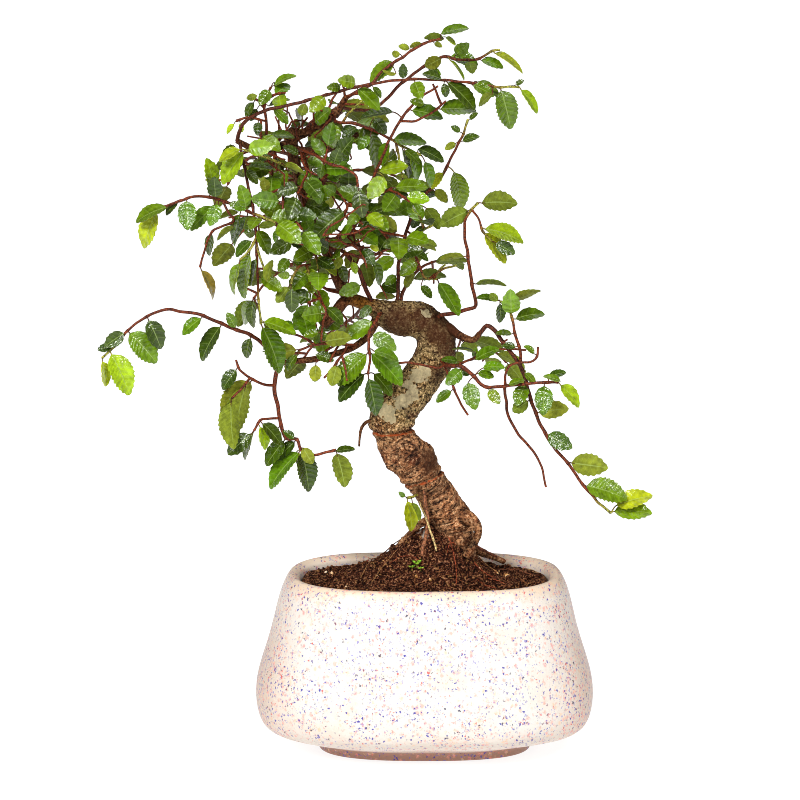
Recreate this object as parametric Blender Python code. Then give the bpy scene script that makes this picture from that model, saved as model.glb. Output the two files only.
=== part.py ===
"""An elm bonsai in an oval glazed pot, as named solids at their real size.

Metres, +Z up. The origin is the middle of the pot's foot, on the surface that it stands on.
The front of the tree faces -Y. Sizes below are in millimetres and angles in degrees.
"""

import math
import random

import bmesh
import bpy
import numpy as np
from mathutils import Matrix, Vector, noise
from mathutils.bvhtree import BVHTree

MM = 0.001

# Pot: an oval of squared outline on a smaller foot, its front and back leaning in to a rolled rim
POT_SECTORS = 26
POT_SQUARENESS = 2.6
POT_DEPTH_SHARE = 0.69
RIM_DEPTH_SHARE = 0.61
FOOT_DEPTH_SHARE = 0.56
LEAN_START = 45.0
SPREAD_START = 4.6
SPREAD_END = 15.2
POT_WALL = 7.0
POT_OUTSIDE = (
    (0.0, 47.8), (4.6, 47.8), (7.2, 57.5), (10.3, 70.4), (15.2, 74.4), (24.4, 76.1), (34.0, 75.2),
    (45.0, 71.6), (57.0, 67.9), (71.0, 64.9), (77.0, 62.4), (79.6, 60.9),
)
POT_RIM = (80.8, 59.0)
POT_INSIDE = ((79.2, 56.0), (77.0, 55.2), (57.0, 59.8), (34.0, 67.8), (17.0, 66.0), (12.0, 56.0))
DRAIN_RADIUS = 3.5
DRAIN_OFFSET = 20.0

# Soil: level below the rim, heaped up to the trunk
SEAT_GAP = 0.3
EDGE_GAP = 0.6
SOIL_LEVEL = 76.6
MOUND_HEIGHT = 25.5
MOUND_CENTRE = (8.0, 2.0)
MOUND_LEFT = 29.0
MOUND_RIGHT = 15.0
MOUND_DEPTH = 16.0

# The view that the routes below are read from: an 800 pixel square picture of the front
PICTURE_MIDDLE = 400
PIXEL = 0.443
EYE_DISTANCE = 2000.0
EYE_TILT = 12.5
AIM_X = -11.0
AIM_Z = 159.2

# Leaves: a petiole, then a toothed oval blade, folded along its rib and arched to its tip
PETIOLE = 1.6
PETIOLE_HALF = 0.38
LEAF_THICKNESS = 0.72
LEAF_WIDTH_SHARE = 0.60
LEAF_FOLD = 0.22
SMALL_LEAF = 14.0
SHORTEST_LEAF = 6.5
LARGE_EDGE = ((0.10, 0.66), (0.30, 0.86), (0.47, 1.06), (0.60, 0.84), (0.79, 0.74))
SMALL_EDGE = ((0.16, 0.82), (0.46, 1.0), (0.58, 0.78))
CLEARANCE = 0.35
FILL_SPACING = 9.0
FILL_ANGLE = 52.0
FILL_LENGTHS = (11.0, 15.0)
FOOT_SPACING = 4.0
LEAF_ARCHES = (0.02, 0.07)
LEAF_REACH = 0.65
# Each try to lay a leaf clear of the others: swing in its own plane, nod, roll, size, shift in depth
LEAF_TRIES = (
    (0, 0, 0, 1.0, 0), (0, 0, 0, 1.0, -1.5), (0, 0, 0, 1.0, 1.5), (0, 0, 12, 1.0, 0), (0, 0, -12, 1.0, 0),
    (0, 12, 0, 1.0, 0), (0, -12, 0, 1.0, 0), (0, 0, 0, 1.0, -3), (0, 0, 0, 1.0, 3), (8, 0, 20, 1.0, -1.5),
    (-8, 0, -20, 1.0, 1.5), (8, 12, 0, 1.0, 1.5), (-8, -12, 0, 1.0, -1.5), (0, 20, 20, 1.0, -2),
    (0, -20, -20, 1.0, 2), (0, 0, 0, 0.95, -4.5), (0, 0, 0, 0.95, 4.5), (15, 10, 30, 0.95, -3),
    (-15, 10, -30, 0.95, -3), (15, -18, 40, 0.95, 3), (-15, -18, -40, 0.95, 3), (0, 30, 0, 0.9, -3),
    (0, -30, 0, 0.9, 3), (20, 0, 55, 0.9, -5), (-20, 0, -55, 0.9, 5), (15, 35, 45, 0.85, 0),
    (-15, 35, -45, 0.85, 0), (15, -35, 60, 0.85, 0), (-15, -35, -60, 0.85, 0), (30, 20, 20, 0.8, -6),
    (-30, 20, -20, 0.8, 6), (40, -25, 70, 0.8, 0), (-40, -25, -70, 0.8, 0), (0, 50, 30, 0.75, 0),
    (0, -50, -30, 0.75, 0),
)
STEM_SHIFTS = (0, -2.5, 2.5, -5, 5, -7.5, 7.5, -10, 10, -13, 13, -16, 16)

# Spacing of the points along wood and stems: close for finding what is near, wide for the solids
CLOSE_STEP = 1.5
TRUNK_STEP = 6.4
LIMB_STEP = 8.0
STEM_STEP = 9.0

# The trunk and what grew thick on it: picture column, picture row, depth, radius
TRUNK = (
    (455, 590, 5, 8.6), (453, 566, 5, 10.4), (451, 545, 5, 10.8), (448, 520, 4, 9.6), (437, 497, 2, 8.4),
    (425, 478, 0, 8.7), (412, 460, -2, 9.4), (400, 445, -3, 9.1), (394, 433, -3, 8.6), (392, 420, -3, 9.8),
    (398, 408, -3, 9.3), (410, 393, -2, 8.6), (424, 375, 0, 8.6), (434, 358, 2, 8.9), (436, 342, 3, 8.9),
    (430, 328, 3, 8.6), (418, 320, 2, 8.3), (404, 318, 1, 8.0), (390, 315, 0, 7.0), (377, 309, 0, 4.6),
    (362, 303, 1, 3.1), (347, 295, 3, 2.8), (336, 275, 5, 2.6), (325, 248, 7, 2.5), (312, 220, 9, 2.4),
    (303, 195, 10, 2.4), (297, 170, 10, 2.4), (292, 150, 9, 2.6), (292, 136, 8, 3.0), (294, 128, 8, 1.6),
)
LIMBS = {
    "root_left": ((434, 518, -1, 2.3), (422, 523, 0, 1.9), (413, 530, 1, 1.8), (404, 539, 1, 1.5),
                  (394, 550, 2, 1.2), (384, 560, 2, 1.0), (374, 571, 2, 0.9)),
    "root_front": ((434, 516, -1, 1.4), (427, 524, -8, 1.2), (425, 536, -12, 1.1), (422, 549, -16, 1.0),
                   (420, 558, -17, 0.9)),
    "root_front_slim": ((436, 517, -2, 1.2), (430, 526, -9, 1.0), (433, 539, -13, 1.0), (436, 550, -16, 0.9)),
    "root_knuckle": ((458, 515, 0, 4.0), (473, 521, -3, 3.0), (478, 530, -5, 2.7), (471, 541, -7, 2.5),
                     (464, 556, -8, 2.2)),
    "root_stub": ((475, 527, -5, 2.2), (465, 535, -10, 2.1), (456, 543, -13, 1.9)),
    "root_right": ((466, 538, 8, 2.6), (478, 551, 14, 1.8), (491, 556, 19, 1.5), (505, 562, 22, 1.3)),
    "root_back": ((446, 535, 10, 3.2), (428, 545, 22, 2.2), (410, 560, 28, 1.6), (398, 575, 30, 1.2)),
    "twig_broken": ((380, 424, -4, 1.1), (369, 421, -6, 0.9), (362, 427, -7, 0.8), (360, 435, -7, 0.7),
                    (359, 447, -7, 0.6)),
    "stub_amber": ((360, 302, 1, 2.6), (346, 300, -4, 2.5), (335, 313, -8, 2.4), (323, 326, -11, 2.2)),
    "limb_low": ((380, 312, 0, 2.4), (368, 335, -6, 1.8), (354, 347, -10, 1.5), (338, 353, -13, 1.4),
                 (315, 359, -16, 1.4), (297, 361, -18, 1.3), (277, 364, -20, 1.3)),
    "limb_top": ((293, 138, 8, 2.2), (310, 130, 6, 2.0), (334, 115, 4, 1.8), (347, 96, 3, 1.4)),
    "limb_bar": ((294, 150, 9, 2.0), (322, 151, 2, 1.7), (345, 141, -5, 1.4), (358, 134, -8, 1.2)),
    "limb_left": ((293, 142, 8, 2.2), (276, 147, -2, 1.8), (256, 149, -11, 1.5), (237, 141, -17, 1.3)),
    "limb_mid": ((327, 251, 7, 2.0), (340, 237, -3, 1.6), (354, 220, -9, 1.4), (366, 198, -14, 1.2)),
    "limb_right": ((434, 336, 3, 2.8), (446, 326, 0, 1.9), (459, 335, -4, 1.7), (473, 340, -7, 1.5),
                   (480, 333, -9, 1.4)),
}
KNOBS = (  # picture column, picture row, depth, spread, height
    (437, 452, -4, 5.0, 1.6), (388, 468, -5, 4.0, 1.6), (381, 425, -5, 5.0, 1.2), (408, 483, -4, 5.0, 0.9),
    (430, 400, -4, 5.0, 1.1), (448, 340, -2, 6.0, 0.9), (412, 372, -6, 4.5, 0.8), (463, 512, 2, 6.0, 1.6),
)
KNOB_FULL_RADIUS = 8.0
GNARL_SPREAD = 11.0
GNARL_HEIGHT = 1.1
THICK_RADIUS = 4.5

# Leafy shoots: name, leaves added by rule, stems, leaves. A stem is its first and last radius and its
# route. A leaf is the column and row of its base, those of its tip, the width it shows, and its look:
# d dark, g green, b bright, y young, p parched, all seen from above, and u seen from below.
SHOOTS = (
    ("shoot_top_arch", 0, (
        (1.1, 0.6, ((238, 141, -17), (240, 130, -20), (246, 121, -24), (258, 114, -28), (275, 108, -31),
                    (306, 101, -33), (330, 94, -33), (355, 87, -33), (400, 80, -32), (445, 80, -30),
                    (489, 86, -27), (519, 87, -24))),
    ), (
        (305, 102, 301, 113, 10, "u"), (326, 94, 312, 108, 14, "b"), (340, 87, 327, 88, 9, "g"),
        (355, 83, 338, 80, 13, "b"), (355, 86, 377, 107, 14, "g"), (415, 79, 421, 95, 14, "g"),
        (444, 79, 471, 107, 15, "d"), (470, 86, 491, 97, 11, "g"), (472, 83, 509, 84, 16, "g"),
        (492, 92, 471, 107, 6, "u"), (499, 89, 509, 128, 22, "g"), (519, 87, 536, 110, 9, "y"),
        (444, 84, 446, 98, 8, "d"), (372, 86, 380, 97, 6, "d"), (513, 86, 521, 81, 5, "d"),
        (446, 77, 427, 71, 8, "d"),
    )),
    ("shoot_top_sprig", 0, (
        (1.0, 0.6, ((346, 98, 3), (358, 90, 4), (372, 83, 5), (380, 72, 6), (397, 60, 8), (410, 51, 9),
                    (425, 42, 10), (440, 38, 12))),
    ), (
        (441, 34, 469, 29, 10, "g"), (444, 40, 424, 39, 8, "u"), (397, 60, 373, 82, 9, "g"),
        (396, 72, 381, 74, 10, "u"), (400, 54, 392, 54, 7, "u"), (411, 50, 400, 47, 6, "u"),
        (425, 42, 413, 46, 5, "u"), (430, 42, 438, 46, 5, "u"), (446, 38, 456, 46, 5, "y"),
    )),
    ("shoot_top_dark", 1, (
        (1.0, 0.6, ((340, 106, 4), (358, 110, 12), (377, 107, 16), (403, 82, 20), (427, 65, 23),
                    (444, 57, 24), (460, 60, 24), (478, 59, 24), (492, 51, 24), (500, 50, 24))),
    ), (
        (443, 57, 427, 65, 13, "u"), (456, 55, 470, 43, 14, "g"),
        (446, 58, 475, 67, 13, "g"), (446, 60, 466, 76, 10, "b"), (494, 52, 522, 72, 9, "y"),
        (496, 54, 502, 67, 9, "u"), (478, 60, 500, 68, 10, "g"), (404, 82, 404, 67, 9, "d"),
        (427, 68, 440, 75, 6, "g"),
    )),
    ("shoot_red", 0, (
        (1.0, 0.6, ((366, 198, -14), (372, 181, -17), (379, 165, -19), (389, 140, -21), (406, 113, -20),
                    (421, 97, -18), (438, 86, -17))),
        (0.7, 0.6, ((402, 123, -20), (415, 121, -24), (434, 111, -26), (446, 101, -26))),
        (0.7, 0.6, ((368, 195, -15), (380, 194, -19), (392, 188, -21))),
    ), (
        (438, 111, 474, 112, 16, "g"), (407, 110, 438, 118, 15, "g"), (393, 112, 360, 117, 8, "d"),
        (377, 172, 406, 167, 13, "b"), (384, 177, 369, 198, 17, "b"), (366, 200, 336, 186, 17, "g"),
        (366, 201, 333, 209, 10, "u"), (393, 188, 425, 188, 14, "g"), (379, 197, 407, 198, 11, "d"),
        (376, 197, 391, 193, 6, "b"), (424, 104, 410, 100, 8, "g"),
    )),
    ("shoot_bar", 0, (
        (0.9, 0.6, ((334, 116, 4), (337, 122, -4), (356, 124, -9), (375, 131, -11), (390, 139, -12),
                    (405, 148, -12), (421, 155, -12))),
    ), (
        (333, 124, 333, 147, 16, "g"), (328, 133, 310, 139, 7, "u"), (356, 128, 342, 137, 9, "d"),
        (370, 136, 358, 149, 10, "g"), (374, 118, 386, 134, 12, "d"), (354, 122, 387, 131, 10, "g"),
        (391, 137, 424, 141, 14, "g"), (371, 134, 376, 171, 13, "g"), (388, 141, 381, 166, 10, "g"),
        (402, 146, 408, 174, 8, "d"), (411, 150, 416, 177, 11, "g"), (404, 144, 420, 158, 9, "d"),
        (418, 149, 444, 162, 15, "d"), (425, 162, 431, 187, 11, "g"),
    )),
    ("shoot_right_crown", 0, (
        (1.1, 0.6, ((400, 306, 1), (398, 281, 3), (399, 262, 5), (403, 244, 6), (410, 221, 8), (420, 199, 10),
                    (433, 187, 11), (447, 166, 12), (456, 148, 13), (463, 134, 14), (468, 119, 15))),
        (0.7, 0.6, ((404, 242, 6), (414, 253, 2), (420, 266, 0), (424, 277, -1), (437, 279, -3))),
        (0.6, 0.6, ((407, 230, 7), (415, 235, 2), (424, 230, -1), (433, 225, -2))),
    ), (
        (422, 201, 402, 214, 16, "g"), (421, 211, 412, 229, 12, "d"), (437, 195, 413, 197, 11, "d"),
        (402, 214, 376, 207, 13, "b"), (408, 240, 436, 251, 8, "u"), (413, 248, 426, 256, 6, "d"),
        (394, 258, 374, 271, 14, "b"), (417, 258, 403, 271, 14, "g"), (396, 249, 383, 250, 7, "b"),
        (396, 275, 386, 284, 9, "g"), (437, 279, 455, 313, 17, "g"), (421, 286, 432, 298, 8, "d"),
        (454, 172, 460, 212, 17, "b"), (434, 190, 446, 203, 10, "u"),
        (426, 208, 440, 229, 14, "u"), (420, 241, 437, 246, 6, "u"),
        (447, 172, 435, 188, 9, "y"), (461, 142, 478, 137, 8, "d"), (461, 143, 450, 149, 7, "u"),
        (463, 133, 454, 127, 6, "d"), (468, 123, 476, 116, 5, "d"), (429, 227, 417, 231, 5, "d"),
    )),
    ("shoot_right_tall", 0, (
        (1.2, 0.7, ((428, 326, 2), (440, 316, -2), (452, 314, -3), (468, 309, -4), (476, 305, -5),
                    (473, 290, -5), (470, 270, -5), (467, 250, -5), (465, 235, -5), (465, 222, -6),
                    (470, 212, -6), (478, 203, -7))),
        (0.6, 0.6, ((472, 209, -6), (478, 218, -10), (483, 231, -11), (492, 241, -12))),
    ), (
        (474, 284, 505, 286, 6, "u"), (470, 207, 441, 222, 18, "u"), (479, 205, 515, 205, 18, "u"),
        (484, 226, 523, 239, 15, "b"), (482, 232, 503, 262, 16, "y"), (487, 230, 499, 247, 7, "y"),
        (496, 243, 515, 254, 13, "d"), (466, 255, 440, 258, 6, "u"),
    )),
    ("shoot_right_trailer", 0, (
        (1.3, 0.7, ((479, 333, -9), (487, 326, -10), (495, 331, -11), (502, 341, -12), (513, 355, -14),
                    (522, 370, -15), (529, 392, -17), (534, 410, -19), (545, 433, -21), (556, 450, -22),
                    (570, 466, -23), (583, 485, -24), (598, 502, -25), (611, 513, -25))),
        (0.9, 0.6, ((521, 366, -15), (520, 350, -14), (516, 337, -13), (513, 323, -12), (509, 310, -11),
                    (500, 301, -10))),
    ), (
        (536, 412, 566, 408, 17, "u"), (545, 433, 568, 446, 17, "d"), (567, 462, 604, 467, 22, "u"),
        (582, 484, 623, 497, 22, "g"), (617, 507, 653, 497, 18, "y"), (613, 514, 651, 516, 18, "b"),
        (600, 505, 628, 531, 8, "d"), (498, 301, 478, 298, 7, "d"), (498, 303, 498, 322, 9, "d"),
        (511, 316, 510, 290, 18, "b"), (515, 318, 544, 313, 11, "d"), (511, 302, 541, 291, 8, "u"),
        (515, 335, 499, 334, 6, "d"), (521, 346, 507, 345, 7, "d"), (527, 381, 519, 400, 15, "g"),
        (530, 398, 515, 408, 13, "u"), (522, 371, 533, 382, 7, "g"), (503, 299, 494, 291, 8, "u"),
    )),
    ("shoot_right_low", 0, (
        (1.2, 0.7, ((436, 352, 0), (446, 364, -9), (461, 364, -12), (474, 374, -13), (484, 384, -14),
                    (504, 384, -15), (526, 381, -16), (544, 380, -17), (558, 380, -18))),
        (0.9, 0.6, ((504, 384, -15), (506, 400, -16), (509, 419, -17), (521, 437, -18), (533, 451, -18),
                    (541, 465, -19), (546, 487, -19))),
        (0.7, 0.6, ((502, 384, -15), (506, 372, -18), (514, 364, -19), (530, 362, -20), (537, 356, -20),
                    (538, 347, -20))),
        (0.7, 0.6, ((446, 366, -9), (454, 389, -11), (461, 404, -12), (468, 415, -12))),
        (0.7, 0.6, ((448, 365, -10), (440, 368, -13), (428, 366, -14), (412, 363, -15), (396, 363, -14))),
        (0.7, 0.6, ((462, 364, -12), (474, 358, -9), (484, 352, -8), (500, 349, -8), (526, 350, -8))),
    ), (
        (480, 352, 455, 346, 7, "d"), (470, 357, 495, 345, 11, "g"), (476, 362, 471, 349, 9, "g"),
        (462, 362, 445, 360, 7, "d"), (483, 368, 505, 367, 10, "g"), (463, 369, 448, 383, 14, "g"),
        (475, 377, 462, 373, 8, "d"), (478, 374, 494, 378, 8, "g"), (456, 388, 441, 399, 9, "g"),
        (468, 383, 475, 408, 17, "g"), (488, 385, 498, 398, 11, "b"), (546, 381, 545, 408, 18, "g"),
        (549, 377, 566, 372, 7, "d"), (558, 379, 577, 401, 13, "y"), (506, 383, 522, 378, 6, "g"),
        (535, 356, 525, 348, 5, "g"), (560, 379, 542, 374, 6, "g"),
    )),
    ("shoot_left_trailer", 0, (
        (1.1, 0.6, ((281, 363, -20), (266, 347, -22), (251, 335, -24), (237, 330, -26), (225, 325, -28),
                    (213, 320, -30), (200, 315, -31), (180, 311, -32), (169, 309, -33), (158, 311, -33),
                    (147, 317, -34), (137, 323, -34), (127, 331, -35), (115, 346, -35), (102, 358, -35))),
    ), (
        (126, 332, 107, 345, 14, "d"), (129, 334, 156, 364, 22, "g"), (148, 319, 161, 348, 18, "d"),
        (111, 352, 129, 393, 22, "y"), (101, 360, 104, 385, 8, "y"), (113, 346, 99, 349, 8, "d"),
        (205, 317, 186, 333, 12, "g"), (222, 326, 203, 360, 14, "d"), (236, 329, 228, 314, 10, "g"),
        (250, 336, 246, 356, 10, "d"),
    )),
    ("shoot_left_drop", 0, (
        (1.3, 0.7, ((279, 364, -20), (275, 378, -21), (275, 393, -22), (278, 407, -23), (281, 422, -24),
                    (286, 438, -25), (297, 440, -26), (301, 450, -27), (315, 455, -27), (336, 450, -27))),
        (0.8, 0.6, ((275, 387, -22), (262, 384, -26), (250, 378, -28), (240, 370, -29), (236, 360, -29))),
        (0.7, 0.6, ((249, 378, -28), (242, 388, -32), (232, 398, -34))),
        (0.7, 0.6, ((279, 420, -24), (268, 419, -27), (260, 421, -29), (254, 431, -30))),
    ), (
        (236, 366, 222, 386, 13, "d"), (251, 380, 222, 412, 20, "u"), (249, 382, 240, 430, 20, "u"),
        (232, 396, 220, 440, 12, "u"), (252, 430, 229, 450, 17, "d"), (260, 427, 266, 450, 9, "y"),
        (262, 422, 281, 443, 12, "d"), (278, 428, 261, 432, 8, "d"), (286, 438, 268, 463, 16, "d"),
        (300, 449, 271, 485, 15, "g"), (303, 447, 312, 462, 12, "u"), (300, 452, 307, 492, 18, "d"),
        (297, 440, 282, 455, 11, "d"), (338, 451, 346, 485, 18, "u"), (333, 449, 352, 447, 6, "d"),
        (254, 432, 245, 459, 7, "g"), (296, 438, 285, 430, 7, "d"), (296, 455, 303, 479, 9, "y"),
    )),
    ("shoot_left_hanging", 0, (
        (0.9, 0.6, ((240, 142, -17), (243, 160, -21), (247, 181, -24), (252, 204, -27), (256, 234, -29),
                    (257, 262, -31), (258, 290, -32), (261, 324, -32))),
        (0.7, 0.6, ((257, 246, -30), (261, 260, -33), (266, 273, -35))),
        (0.7, 0.6, ((256, 238, -30), (250, 250, -33), (240, 260, -35))),
    ), (
        (254, 301, 253, 328, 11, "d"), (261, 319, 293, 331, 13, "b"), (258, 326, 276, 372, 20, "g"),
        (262, 327, 282, 344, 9, "y"), (254, 306, 231, 339, 13, "g"), (246, 207, 240, 184, 13, "g"),
        (259, 227, 271, 251, 12, "g"), (259, 226, 276, 223, 6, "u"), (253, 222, 246, 232, 8, "d"),
        (251, 241, 236, 257, 10, "d"), (250, 252, 245, 297, 13, "g"), (239, 260, 233, 291, 9, "g"),
        (255, 254, 250, 280, 8, "g"), (257, 277, 279, 291, 13, "g"), (267, 281, 272, 259, 8, "u"),
        (246, 167, 257, 181, 9, "d"), (246, 165, 272, 168, 6, "d"),
    )),
    ("shoot_left_arm", 0, (
        (1.3, 0.6, ((374, 304, 0), (366, 290, -3), (357, 268, -5), (344, 252, -6), (329, 247, -7),
                    (312, 243, -8), (295, 234, -8), (282, 228, -8), (254, 214, -10), (223, 201, -12),
                    (194, 196, -14), (180, 201, -15), (158, 209, -15), (150, 211, -15))),
        (0.7, 0.6, ((222, 202, -12), (228, 212, -15), (234, 221, -18), (220, 227, -19), (212, 231, -19),
                    (207, 243, -19), (203, 256, -19), (200, 267, -19))),
    ), (
        (168, 202, 137, 217, 12, "g"), (156, 210, 142, 246, 18, "y"), (186, 198, 187, 225, 18, "g"),
        (180, 202, 168, 214, 7, "d"), (214, 207, 191, 231, 13, "g"), (220, 198, 212, 218, 14, "g"),
        (212, 190, 206, 158, 13, "b"), (216, 198, 214, 176, 15, "d"), (213, 231, 210, 253, 9, "d"),
        (199, 268, 211, 297, 8, "p"), (227, 204, 240, 208, 8, "g"), (234, 226, 217, 240, 5, "u"),
        (238, 212, 219, 219, 6, "u"), (240, 214, 233, 242, 9, "d"), (247, 217, 234, 247, 8, "g"),
        (277, 230, 276, 243, 6, "g"), (291, 241, 271, 253, 15, "d"), (302, 244, 308, 228, 12, "d"),
        (362, 283, 341, 291, 14, "b"),
    )),
    ("shoot_front_low", 0, (
        (1.0, 0.6, ((382, 312, 0), (378, 316, -9), (370, 332, -15), (368, 346, -18), (370, 358, -20),
                    (368, 374, -21))),
    ), (
        (373, 319, 348, 336, 17, "g"), (384, 316, 388, 333, 17, "b"), (371, 334, 394, 350, 17, "g"),
        (367, 351, 338, 382, 21, "g"), (371, 352, 401, 384, 21, "g"), (374, 349, 400, 359, 9, "g"),
        (387, 303, 371, 310, 12, "b"), (364, 375, 338, 402, 17, "d"), (369, 374, 376, 411, 17, "d"),
        (374, 376, 393, 399, 14, "d"), (371, 306, 360, 317, 10, "d"),
    )),
    ("shoot_front_mid", 0, (
        (1.0, 0.6, ((350, 298, 2), (341, 297, -10), (328, 297, -17), (316, 293, -21), (307, 302, -23),
                    (300, 312, -24))),
        (0.7, 0.6, ((327, 297, -17), (325, 308, -22), (323, 322, -24), (321, 342, -25))),
        (0.7, 0.6, ((317, 293, -21), (316, 286, -25), (310, 282, -27))),
    ), (
        (321, 313, 303, 316, 17, "g"), (317, 283, 324, 306, 17, "g"), (309, 288, 301, 299, 9, "g"),
        (321, 333, 306, 337, 8, "g"), (322, 343, 349, 339, 15, "u"), (326, 304, 343, 321, 10, "d"),
    )),
    ("shoot_front_up", 0, (
        (0.9, 0.6, ((336, 272, 5), (338, 262, -8), (346, 254, -14), (360, 257, -17), (375, 259, -19),
                    (384, 250, -20))),
    ), (
        (379, 251, 370, 246, 6, "y"), (363, 249, 374, 264, 12, "d"), (344, 247, 326, 242, 9, "b"),
        (344, 255, 335, 267, 9, "u"), (338, 262, 345, 279, 10, "d"), (374, 263, 380, 286, 9, "g"),
        (352, 262, 356, 274, 7, "b"),
    )),
    ("shoot_crown_left", 0, (
        (0.9, 0.6, ((266, 148, -6), (267, 132, -8), (266, 118, -9), (264, 108, -9), (267, 97, -9),
                    (271, 87, -8))),
        (0.6, 0.6, ((266, 122, -9), (256, 119, -12), (246, 118, -14), (236, 121, -15))),
        (0.6, 0.6, ((264, 107, -9), (258, 101, -12), (253, 98, -13))),
    ), (
        (268, 85, 290, 75, 7, "g"), (270, 88, 261, 102, 12, "g"), (274, 84, 284, 99, 8, "g"),
        (257, 95, 247, 98, 7, "u"), (253, 101, 245, 116, 8, "d"), (257, 109, 250, 121, 8, "d"),
        (269, 106, 290, 99, 6, "g"), (274, 110, 288, 124, 9, "g"), (257, 121, 256, 133, 9, "d"),
        (235, 121, 228, 131, 5, "y"), (241, 120, 243, 129, 5, "y"), (266, 136, 290, 138, 8, "d"),
    )),
    ("shoot_young", 0, (
        (0.9, 0.6, ((300, 172, 10), (286, 166, -14), (268, 158, -24), (256, 154, -28), (245, 150, -30))),
    ), (
        (246, 149, 272, 145, 16, "b"), (243, 151, 222, 183, 18, "y"), (240, 149, 219, 161, 10, "y"),
        (281, 161, 305, 166, 10, "u"), (289, 168, 273, 192, 16, "g"),
    )),
    ("shoot_crown_front", 1, (
        (1.0, 0.6, ((295, 152, 9), (302, 150, -8), (315, 154, -18), (330, 163, -25), (346, 168, -28),
                    (355, 174, -29), (358, 186, -30))),
        (0.7, 0.6, ((302, 151, -8), (303, 162, -16), (310, 172, -21), (327, 177, -24))),
    ), (
        (301, 174, 320, 187, 15, "g"), (310, 176, 320, 203, 13, "g"), (334, 163, 340, 147, 13, "d"),
        (324, 157, 322, 172, 7, "d"), (304, 156, 288, 148, 8, "d"),
    )),
    ("shoot_crown_side", 1, (
        (0.9, 0.6, ((303, 195, 10), (295, 190, -10), (284, 188, -19), (270, 192, -24), (256, 200, -27))),
        (0.7, 0.6, ((281, 189, -20), (283, 199, -26), (283, 210, -29))),
    ), (
        (279, 201, 251, 198, 17, "g"), (266, 193, 263, 179, 10, "u"), (285, 192, 298, 220, 16, "g"),
        (283, 210, 291, 233, 12, "g"),
    )),
    ("shoot_front_left", 0, (
        (0.9, 0.6, ((322, 240, 8), (314, 248, -12), (309, 258, -22), (309, 272, -25))),
        (0.7, 0.6, ((310, 256, -21), (300, 266, -25), (293, 276, -28), (291, 284, -29))),
    ), (
        (308, 264, 312, 287, 17, "b"), (315, 258, 337, 275, 9, "y"), (293, 277, 281, 276, 8, "b"),
        (290, 282, 278, 297, 12, "u"), (292, 286, 293, 310, 14, "d"), (303, 252, 295, 266, 11, "g"),
        (288, 259, 279, 271, 11, "g"),
    )),
    ("shoot_front_centre", 0, (
        (1.0, 0.6, ((300, 178, 10), (308, 175, -8), (320, 182, -16), (344, 197, -19), (356, 207, -20),
                    (372, 221, -20), (385, 235, -20), (394, 247, -20))),
        (0.7, 0.6, ((342, 196, -19), (347, 206, -23), (345, 214, -26))),
    ), (
        (338, 196, 322, 191, 11, "g"), (322, 181, 338, 190, 7, "u"), (397, 232, 368, 216, 14, "u"),
        (397, 240, 384, 247, 10, "d"), (349, 210, 318, 237, 22, "d"), (352, 224, 342, 239, 8, "g"),
        (372, 212, 396, 205, 8, "d"),
    )),
    ("shoot_under", 0, (
        (1.0, 0.6, ((356, 346, -9), (345, 344, -14), (334, 343, -16), (318, 343, -18), (299, 349, -20))),
        (0.7, 0.6, ((334, 344, -16), (325, 352, -18), (316, 362, -19))),
        (0.7, 0.6, ((346, 345, -14), (342, 356, -18), (333, 368, -19), (324, 378, -20))),
    ), (
        (299, 349, 277, 352, 17, "u"), (315, 363, 314, 378, 12, "u"), (337, 362, 332, 381, 14, "u"),
        (316, 354, 334, 360, 10, "d"), (300, 352, 290, 368, 9, "d"),
    )),
    ("shoot_basal", 0, (
        (0.8, 0.6, ((424, 494, 0), (416, 495, -5), (411, 497, -7), (407, 498, -8))),
    ), (
        (408, 500, 412, 530, 13, "y"), (406, 497, 400, 492, 5, "g"), (410, 500, 418, 519, 6, "u"),
    )),
    ("shoot_back_top", 4, (
        (1.0, 0.6, ((300, 134, 7), (316, 118, 22), (334, 110, 38), (352, 110, 52), (366, 118, 62))),
    ), ()),
    ("shoot_back_left_high", 4, (
        (1.0, 0.6, ((294, 156, 10), (276, 152, 24), (254, 156, 38), (238, 168, 48), (228, 184, 54))),
    ), ()),
    ("shoot_back_left_mid", 4, (
        (1.0, 0.6, ((310, 214, 9), (294, 210, 26), (270, 214, 40), (248, 226, 48), (234, 242, 52))),
    ), ()),
    ("shoot_back_left_low", 4, (
        (1.0, 0.6, ((332, 264, 6), (314, 260, 22), (290, 266, 37), (268, 280, 46), (254, 298, 50))),
    ), ()),
    ("shoot_back_mid", 4, (
        (1.0, 0.6, ((326, 250, 7), (344, 238, 24), (364, 234, 40), (384, 240, 52), (398, 252, 60))),
    ), ()),
    ("shoot_back_right_high", 4, (
        (1.0, 0.6, ((302, 190, 10), (328, 178, 22), (356, 170, 34), (384, 172, 45), (408, 182, 53))),
    ), ()),
    ("shoot_back_right_mid", 4, (
        (1.0, 0.6, ((396, 308, 6), (404, 290, 22), (416, 272, 36), (432, 262, 46), (446, 262, 54))),
    ), ()),
    ("shoot_back_low", 4, (
        (1.0, 0.6, ((366, 304, 2), (352, 318, 20), (334, 330, 34), (316, 342, 44), (304, 358, 50))),
    ), ()),
    ("shoot_back_right_low", 4, (
        (1.0, 0.6, ((438, 340, 6), (452, 336, 20), (470, 338, 32), (490, 348, 42), (506, 362, 48))),
    ), ()),
    ("shoot_back_crown", 4, (
        (1.0, 0.6, ((300, 186, 12), (298, 172, 30), (304, 168, 46), (314, 174, 58), (322, 188, 66))),
    ), ()),
)


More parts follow.
